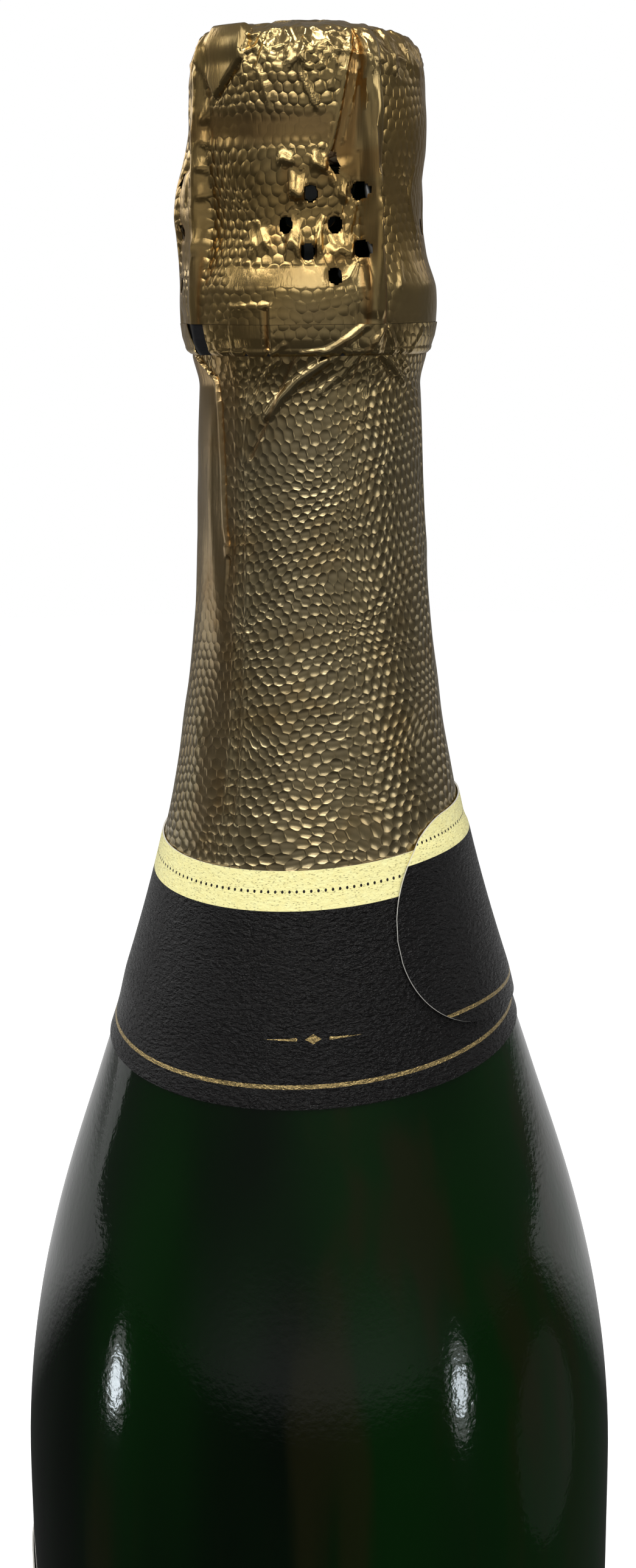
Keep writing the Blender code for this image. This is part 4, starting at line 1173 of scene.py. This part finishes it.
def make_hood():
    """The foil over the head: outlines blended round it, its relief and pebbles, then its air holes."""
    outlines = (HOOD_PLAIN, HOOD_ROUNDED, HOOD_OVER_LEG, HOOD_OVER_LOOP)
    curve = flowing(np.hstack(outlines), 900)
    along = distances(curve)
    tangent = np.gradient(curve[:, :2], axis=0)
    tangent /= np.linalg.norm(tangent, axis=1)[:, None]
    obj, u, v = grid(290, 166)
    where = hood_rows(1 - v, along[-1])
    level = np.interp(where, along, curve[:, 1])
    pleat = 16.4
    edge = pleat + (pleat_edge(level) - pleat) * ramp(level, 298.0, 301.2)
    angle = drawn_along(front_loaded(u), -16.0, pleat, 24.6, edge)
    plain_r, plain_z, round_r, round_z, leg_r, leg_z, loop_r, loop_z = (
        np.interp(where, along, curve[:, i]) for i in range(8))
    out_r, out_z = (np.interp(where, along, c) for c in (-tangent[:, 1], tangent[:, 0]))
    soft = rounded_side(angle)
    radius, height = plain_r + (round_r - plain_r) * soft, plain_z + (round_z - plain_z) * soft
    for share, lifted_r, lifted_z in ((over_loop(angle, height), loop_r, loop_z),
                                      (over_legs(angle), leg_r, leg_z)):
        radius, height = radius + (lifted_r - radius) * share, height + (lifted_z - height) * share
    path = along[-1] - where
    out, dots, stretch = hood_relief(angle, height, path)
    top_x, top_y = radius * np.sin(np.radians(angle)), radius * np.cos(np.radians(angle))
    disc = ramp(height, 316.6, 317.6)
    flat_out = 0.30 * ramp(ridges(top_x * 0.33 + 40, top_y * 0.33 + 40, 31), 0.55, 1.0)
    out = out * (1 - disc) + flat_out * disc * ramp(radius, 0.2, 3.0)
    dots = dots * (1 - disc) + 0.4 * disc
    radius, height = radius + out_r * out, height + out_z * out
    move_points(obj, around(angle, radius, height))
    side_u, side_v = pebble_map(np.radians(angle) * HOOD_RADIUS, path, 3.0)
    flat_u, flat_v = pebble_map(top_x, top_y, 0.0)
    on_top = where < 9.0
    set_uv(obj, np.where(on_top, flat_u, side_u), np.where(on_top, flat_v, side_v))
    set_share(obj, "pebble", dots)
    # The browner tint of painted shade and inter-reflection, none on the flat top
    set_share(obj, "stretch", stretch * (1 - disc))
    close_up(obj)
    cut_vents(obj)
    finish_foil(obj, FOIL_THICKNESS, "hood_foil", "gold_foil", "foil_hood", FOIL)


def cut_vents(obj):
    """Deletes the foil inside each air hole and draws its rim to a true edge.

    The first hole is a leaning slit. How far a point is away is told in shares of the hole.
    """
    inner, outer = 0.86, 1.30
    points = points_of(obj)
    turn = angles_of(points)
    radius = np.hypot(points[:, 0], points[:, 1]) / MM
    wall = radius > 14.5    # the side, without the top
    doomed = np.zeros(len(points), dtype=bool)
    for number, (angle, height) in enumerate(all_vents()):
        wide, tall, lean = (0.90, 1.06, 0.0) if number else (0.52, 1.40, 0.22)
        dz = points[:, 2] / MM - height
        dx = np.radians(apart(turn, angle)) * radius + lean * dz
        away = np.hypot(dx / wide, dz / tall)
        doomed |= (away < inner) & wall
        rim = (away >= inner) & (away < outer) & wall
        aim = 1.0 + (outer - 1) * np.clip((away - 1) / (outer - 1), 0, 1)
        stretch = np.where(rim, aim / np.maximum(away, 1e-6), 1.0) - 1
        shift_z = dz * stretch
        shift_x = dx * stretch - lean * shift_z
        points[:, 0] += np.cos(np.radians(turn)) * shift_x * MM
        points[:, 1] += np.sin(np.radians(turn)) * shift_x * MM
        points[:, 2] += shift_z * MM
    move_points(obj, points)
    in_edit(obj, (bpy.ops.mesh.delete, {"type": "VERT"}), picked=doomed)


def band_radius(angle, height):
    """The strip draws in towards its foot, and bulges over the legs and the loop's stem."""
    plain = np.interp(height, [275.9, 277.0, 278.4, 280.2], [16.35, 16.85, 17.2, 17.35])
    leg = np.interp(height, [275.9, 276.6, 277.8, 280.2], [16.75, 17.4, 18.0, 18.3])
    loop = np.interp(height, [275.9, 277.0, 278.4, 280.2], [16.5, 17.15, 17.6, 17.85])
    plain = plain - rounded_side(angle) * np.interp(height, [275.9, 277.0, 280.2], [0.35, 0.42, 0.2])
    radius = plain + (leg - plain) * over_legs(angle)
    return np.maximum(radius, plain + (loop - plain) * over_loop(angle, height))


# Folds of the strip, as the hood's creases are told, and the angles of its torn nicks
BAND_FOLDS = (([(24, 280.0), (14, 277.8), (4, 276.2)], 0.80, 0.40),
              ([(33, 279.8), (27, 277.6), (25, 276.0)], 0.6, 0.32),
              ([(36, 279.6), (40, 277.6), (41, 276.0)], 0.6, 0.26),
              ([(18, 278.6), (6, 276.9), (-4, 276.4)], 0.5, 0.24),
              ([(-12, 277.6), (-18, 276.2)], 0.5, 0.24), ([(-47, 277.2), (-44, 276.2)], 0.5, 0.18),
              ([(60, 279), (54, 276.4)], 0.7, 0.22))
NICKS = (-30.6, -19.2, 14.5, 45.8)


def make_band():
    """The strip that tears out, with its slanted notch where the tape's end is pulled."""
    obj, u, v = grid(520, 22)
    height = BAND_FOOT + (BAND_TOP - BAND_FOOT) * v
    right = -55.0 + 2.5 * (1 - v)
    left = -73.5 + 9.5 * (1 - v) + 360
    angle = right + (left - right) * u
    turn = apart(angle, 0)
    tongue, inner, groove = embossed(turn)
    inner, groove = inner * ramp(v, 0.10, 0.2), groove * ramp(v, 0.06, 0.2)
    folds = strongest(turn, height, BAND_FOLDS)
    dent = value_noise(angle / 360 * 44, height * 0.3, 24, 44) - 0.5
    rim = window(height, 276.5, 276.8, 0.3)
    out = 0.18 * tongue - 0.10 * inner - 0.24 * groove + folds + 0.16 * dent
    out += 0.10 * rim - 0.16 * (1 - ramp(v, 0.0, 0.09))
    nick = np.max([1 - ramp(np.abs(apart(turn, place)), 0.2, 1.5) for place in NICKS], axis=0)
    height = height + (0.42 * nick + 0.10 * (dent + 0.5)) * (1 - v) ** 3
    move_points(obj, around(angle, band_radius(angle, height) + out, height))
    set_uv(obj, *pebble_map(np.radians(angle) * HOOD_RADIUS, height, 3.0))
    set_share(obj, "pebble", 0.30 * (1 - np.maximum(tongue, 2.5 * folds)) * (0.9 + dent))
    # Browner in the groove and the folds: painted shade and inter-reflection
    set_share(obj, "stretch", np.maximum(0.75 * groove, 1.1 * folds * ramp(dent, -0.1, 0.4)))
    close_up(obj)
    finish_foil(obj, FOIL_THICKNESS, "band_foil", "gold_foil", "tear_band", FOIL)


def make_tape():
    """The tape behind the strip; its free end shows in the notch."""
    inset, tall = 0.30, 4.0
    obj, u, v = grid(260, 8)
    angle = -180 + 360 * u
    height = BAND_FOOT + 0.02 + tall * v
    move_points(obj, around(angle, band_radius(angle, height) - inset, height))
    close_up(obj)
    finish_foil(obj, TAPE_THICKNESS, "pull_tape", "black_tape", "tear_tape", tape_finish())


def sleeve_flare(angle, height):
    """How far the foil's top stands out to meet the strip."""
    flare = ramp(height, SLEEVE_TOP - 4.8, SLEEVE_TOP + 0.6)
    return 1.25 * flare * (0.95 + 0.05 * np.cos(np.radians(3 * angle + 20)))


# The seam's path, and the creases that stand out of the neck's foil or sink into it
SEAM = [(-76.0, 276.5), (-64.0, 274.4), (-56.5, 273.0), (-53.3, 269.6), (-49.8, 258.6),
        (-48.1, 253.4), (-45.8, 251.0)]
NECK_FOLDS = (([(11, 276.4), (3, 274.6), (-6, 273.0), (-16, 270.6), (-22, 268.4)], 1.0, 0.60),
              ([(36.7, 276.2), (45, 274.4), (54.4, 272.4)], 0.70, 0.34),
              ([(23, 276.2), (15, 273.6), (4, 271.4)], 0.60, 0.24),
              ([(-30, 276.2), (-33, 270), (-36, 262)], 0.5, 0.18),
              ([(-16, 275.6), (-24, 273.4), (-31, 269)], 0.50, 0.26),
              ([(48, 275.8), (60, 273.6)], 0.5, 0.20),
              ([(-42, 275), (-41, 262), (-39.5, 240), (-37, 214)], 0.35, 0.16),
              ([(-34, 258), (-32.6, 240), (-31, 214)], 0.35, 0.14),
              ([(27, 275.6), (29, 272), (26, 268)], 0.5, 0.18))
NECK_DARTS = (([(-7, 276.2), (-14, 272.6), (-20, 269.0), (-31.5, 263.0)], 0.40, 0.34),
              ([(26, 276.2), (20, 272.6)], 0.45, 0.20), ([(-36.5, 262), (-35, 240), (-33, 214)], 0.30, 0.12),
              ([(33, 276.2), (44, 273.0)], 0.45, 0.20))


def make_sleeve():
    """The foil on the neck: drawn in below the band, lapped along a seam and creased."""
    obj, u, v = grid(296, 250)
    low, share = 206.0, 0.05    # few rows lie below this height, under the collar
    height = np.where(v > share, low + (SLEEVE_TOP - low) * (v - share) / (1 - share),
                      SLEEVE_END + (low - SLEEVE_END) * v / share)
    seam_angle = np.interp(height, [p[1] for p in SEAM[::-1]], [p[0] for p in SEAM[::-1]])
    angle = drawn_along(front_loaded(u), -88.0, -51.0, -18.0, np.clip(seam_angle, -58, -46))
    base = glass_radius(np.minimum(height, 278)) + 0.45 + sleeve_flare(angle, height)
    free = 1 - ramp(211.0 - height, 0.0, 1.2)
    across = np.radians(angle) * SLEEVE_RADIUS
    dent = value_noise(angle / 360 * 24, height * 0.16, 42, 24) - 0.5
    waves = ridges(angle / 360 * 16, height * 0.05, 43, 16)
    out = 0.14 * ramp(waves, 0.6, 1.0) * ramp(height, 210, 225) + 0.18 * dent

    beyond = apart(angle, seam_angle)
    tucked = ramp(height, 236.0, 251.5)
    lap = (1 - ramp(beyond, -0.4, 0.25)) * ramp(beyond, -60, -25)
    hem = crease(angle, height, SEAM, 0.35) * (beyond < 0.1)
    out += tucked * 0.30 * lap + tucked ** 3 * 0.26 * hem + 0.06 * (1 - tucked) * lap
    gutter = window(beyond, 0.35, 1.0, 0.6) * tucked ** 3
    blob = crease(angle, height, [(-45.6, 250.8), (-45.0, 249.8)], 0.7)
    folds, darts = strongest(angle, height, NECK_FOLDS), strongest(angle, height, NECK_DARTS)
    out += 0.30 * blob - 0.14 * gutter + (folds - darts) * ramp(height, 208, 214)
    out = np.maximum(out * ramp(np.abs(apart(angle, 180)), 0.5, 4.0), -0.2) * free
    within_strip = 16.15 + 30 * (1 - ramp(height, 272, 276))
    move_points(obj, around(angle, np.minimum(base + out, within_strip), height))
    lean = 0.012 * np.maximum(across + 4, 0) ** 2 * 60 / (60 + across ** 2)
    set_uv(obj, *pebble_map(across, height - lean, 9.0))
    drag = window(angle, -54, -41, 4) * ramp(height, 206, 216)
    strip = (1 - ramp(beyond, -0.4, 0.2)) * ramp(beyond, -42, -34)
    strip *= tucked + (1 - tucked) * 0.8 * ramp(height, 214, 250)
    smoothed = np.max([strip, 0.5 * drag, 2.4 * folds, 3 * darts, blob, hem], axis=0)
    # Browner on the lapped strip and where it drags, and, as painted shade and inter-reflection, in the
    # darts and the gutter beside the seam
    brown = np.max([0.25 * strip * (1 - hem), 1.2 * darts, 0.35 * gutter, 0.2 * drag], axis=0)
    set_share(obj, "pebble", (1 - smoothed) * (0.8 + 0.2 * dent))
    set_share(obj, "stretch", brown)
    close_up(obj)
    line_sleeve(obj)
    shade(obj, 60)
    finish_piece(obj, "sleeve_foil", "bottle", "gold_foil", "neck_foil", FOIL)


def line_sleeve(obj):
    """Closes the sleeve with a plain wall next to the glass, joined at its two rims."""
    wall, u, v = grid(60, 24)
    angle = -180 + 360 * u
    height = SLEEVE_END + (SLEEVE_TOP - SLEEVE_END) * v
    radius = glass_radius(np.minimum(height, 278)) + LIFT + sleeve_flare(angle, height)
    move_points(wall, around(angle, radius, height))
    for name in ("pebble", "stretch"):
        set_share(wall, name, np.zeros(len(u)))
    close_up(wall, inside=True)
    choose(obj)
    wall.select_set(True)
    bpy.ops.object.join()
    for limit in (SLEEVE_END, SLEEVE_TOP):
        in_edit(obj, (bpy.ops.mesh.select_mode, {"type": "EDGE"}), (bpy.ops.mesh.bridge_edge_loops, {}),
                picked=np.abs(points_of(obj)[:, 2] / MM - limit) < 0.001)


# Labels

def finish_paper(obj, face, name, slot, node):
    """Gives a label its thickness, outwards, with the paper's white core at its edge."""
    close_up(obj)
    for material in (face, paper_core_finish()):
        obj.data.materials.append(material)
    add_modifier(obj, "SOLIDIFY", thickness=PAPER_THICKNESS * MM, offset=1.0, material_offset_rim=1)
    shade(obj, 50)
    finish_piece(obj, name, "bottle", slot, node)


def make_collar():
    """One paper band wound round the shoulder, its round end lapped over its start."""
    obj, u, v = grid(460, 44)
    angle = COLLAR_END + (COLLAR_START - COLLAR_END) * u ** 1.06
    tapered = 1 - ramp(angle, COLLAR_END + 10, COLLAR_END + 75)
    half = COLLAR_HEIGHT / 2 - 1.15 * tapered
    end_reach = math.degrees(COLLAR_HEIGHT / 2 / float(glass_radius(COLLAR_TOP - COLLAR_HEIGHT / 2)))
    wound = (COLLAR_START - angle) / 360
    along = np.maximum(0.0, 1 - (angle - COLLAR_END) / end_reach)
    tall = half * np.sqrt(np.maximum(0.0, 1 - along ** 2.2))
    share = 2 * v - 1
    middle = COLLAR_TOP - COLLAR_HEIGHT / 2 + 3.0 * wound + 1.35 * tapered
    height = middle + tall * share
    lean = np.sin(np.radians(angle - 52.5 + 7.5 * share * tall / half))
    height = height + 0.129 * glass_radius(height) * lean
    over_foil = ramp(height, SLEEVE_END - 13.6, SLEEVE_END - 6.8)
    layer = 1 - ramp(angle, COLLAR_START - 360 + 6, COLLAR_START - 360 + 30)
    layer *= 1 - 0.8 * ramp(height, 209.4, 211.4)
    radius = glass_radius(height) + LIFT + LAYER * (over_foil + layer)
    move_points(obj, around(angle, radius, height))
    set_uv(obj, (angle - COLLAR_END) / (COLLAR_START - COLLAR_END), 0.5 + 0.5 * share * tall / half)
    finish_paper(obj, collar_finish(), "collar_paper", "black_paper", "collar_label")


def make_front():
    """The front label on the far side, with rounded corners."""
    obj, u, v = grid(96, 60)
    halves, corner = np.array(FRONT_HALVES)[:, None], 6.0
    place = (2 * np.stack([u, v]) - 1) * halves
    over = np.abs(place) - (halves - corner)
    pull = over.max(axis=0) / np.maximum(np.hypot(*over), 1e-6)
    rounded = np.sign(place) * (halves - corner + over * pull)
    x, y = np.where((over > 0).all(axis=0), rounded, place)
    angle = FRONT_ANGLE + np.degrees(x / BODY_RADIUS)
    move_points(obj, around(angle, BODY_RADIUS + LIFT, FRONT_MIDDLE + y))
    finish_paper(obj, front_finish(), "front_paper", "cream_paper", "front_label")


FOIL = foil_finish()
for make in (make_glass, make_cork, make_plate, make_cage, make_belt, make_hood, make_band,
             make_tape, make_sleeve, make_collar, make_front):
    make()

deselect()
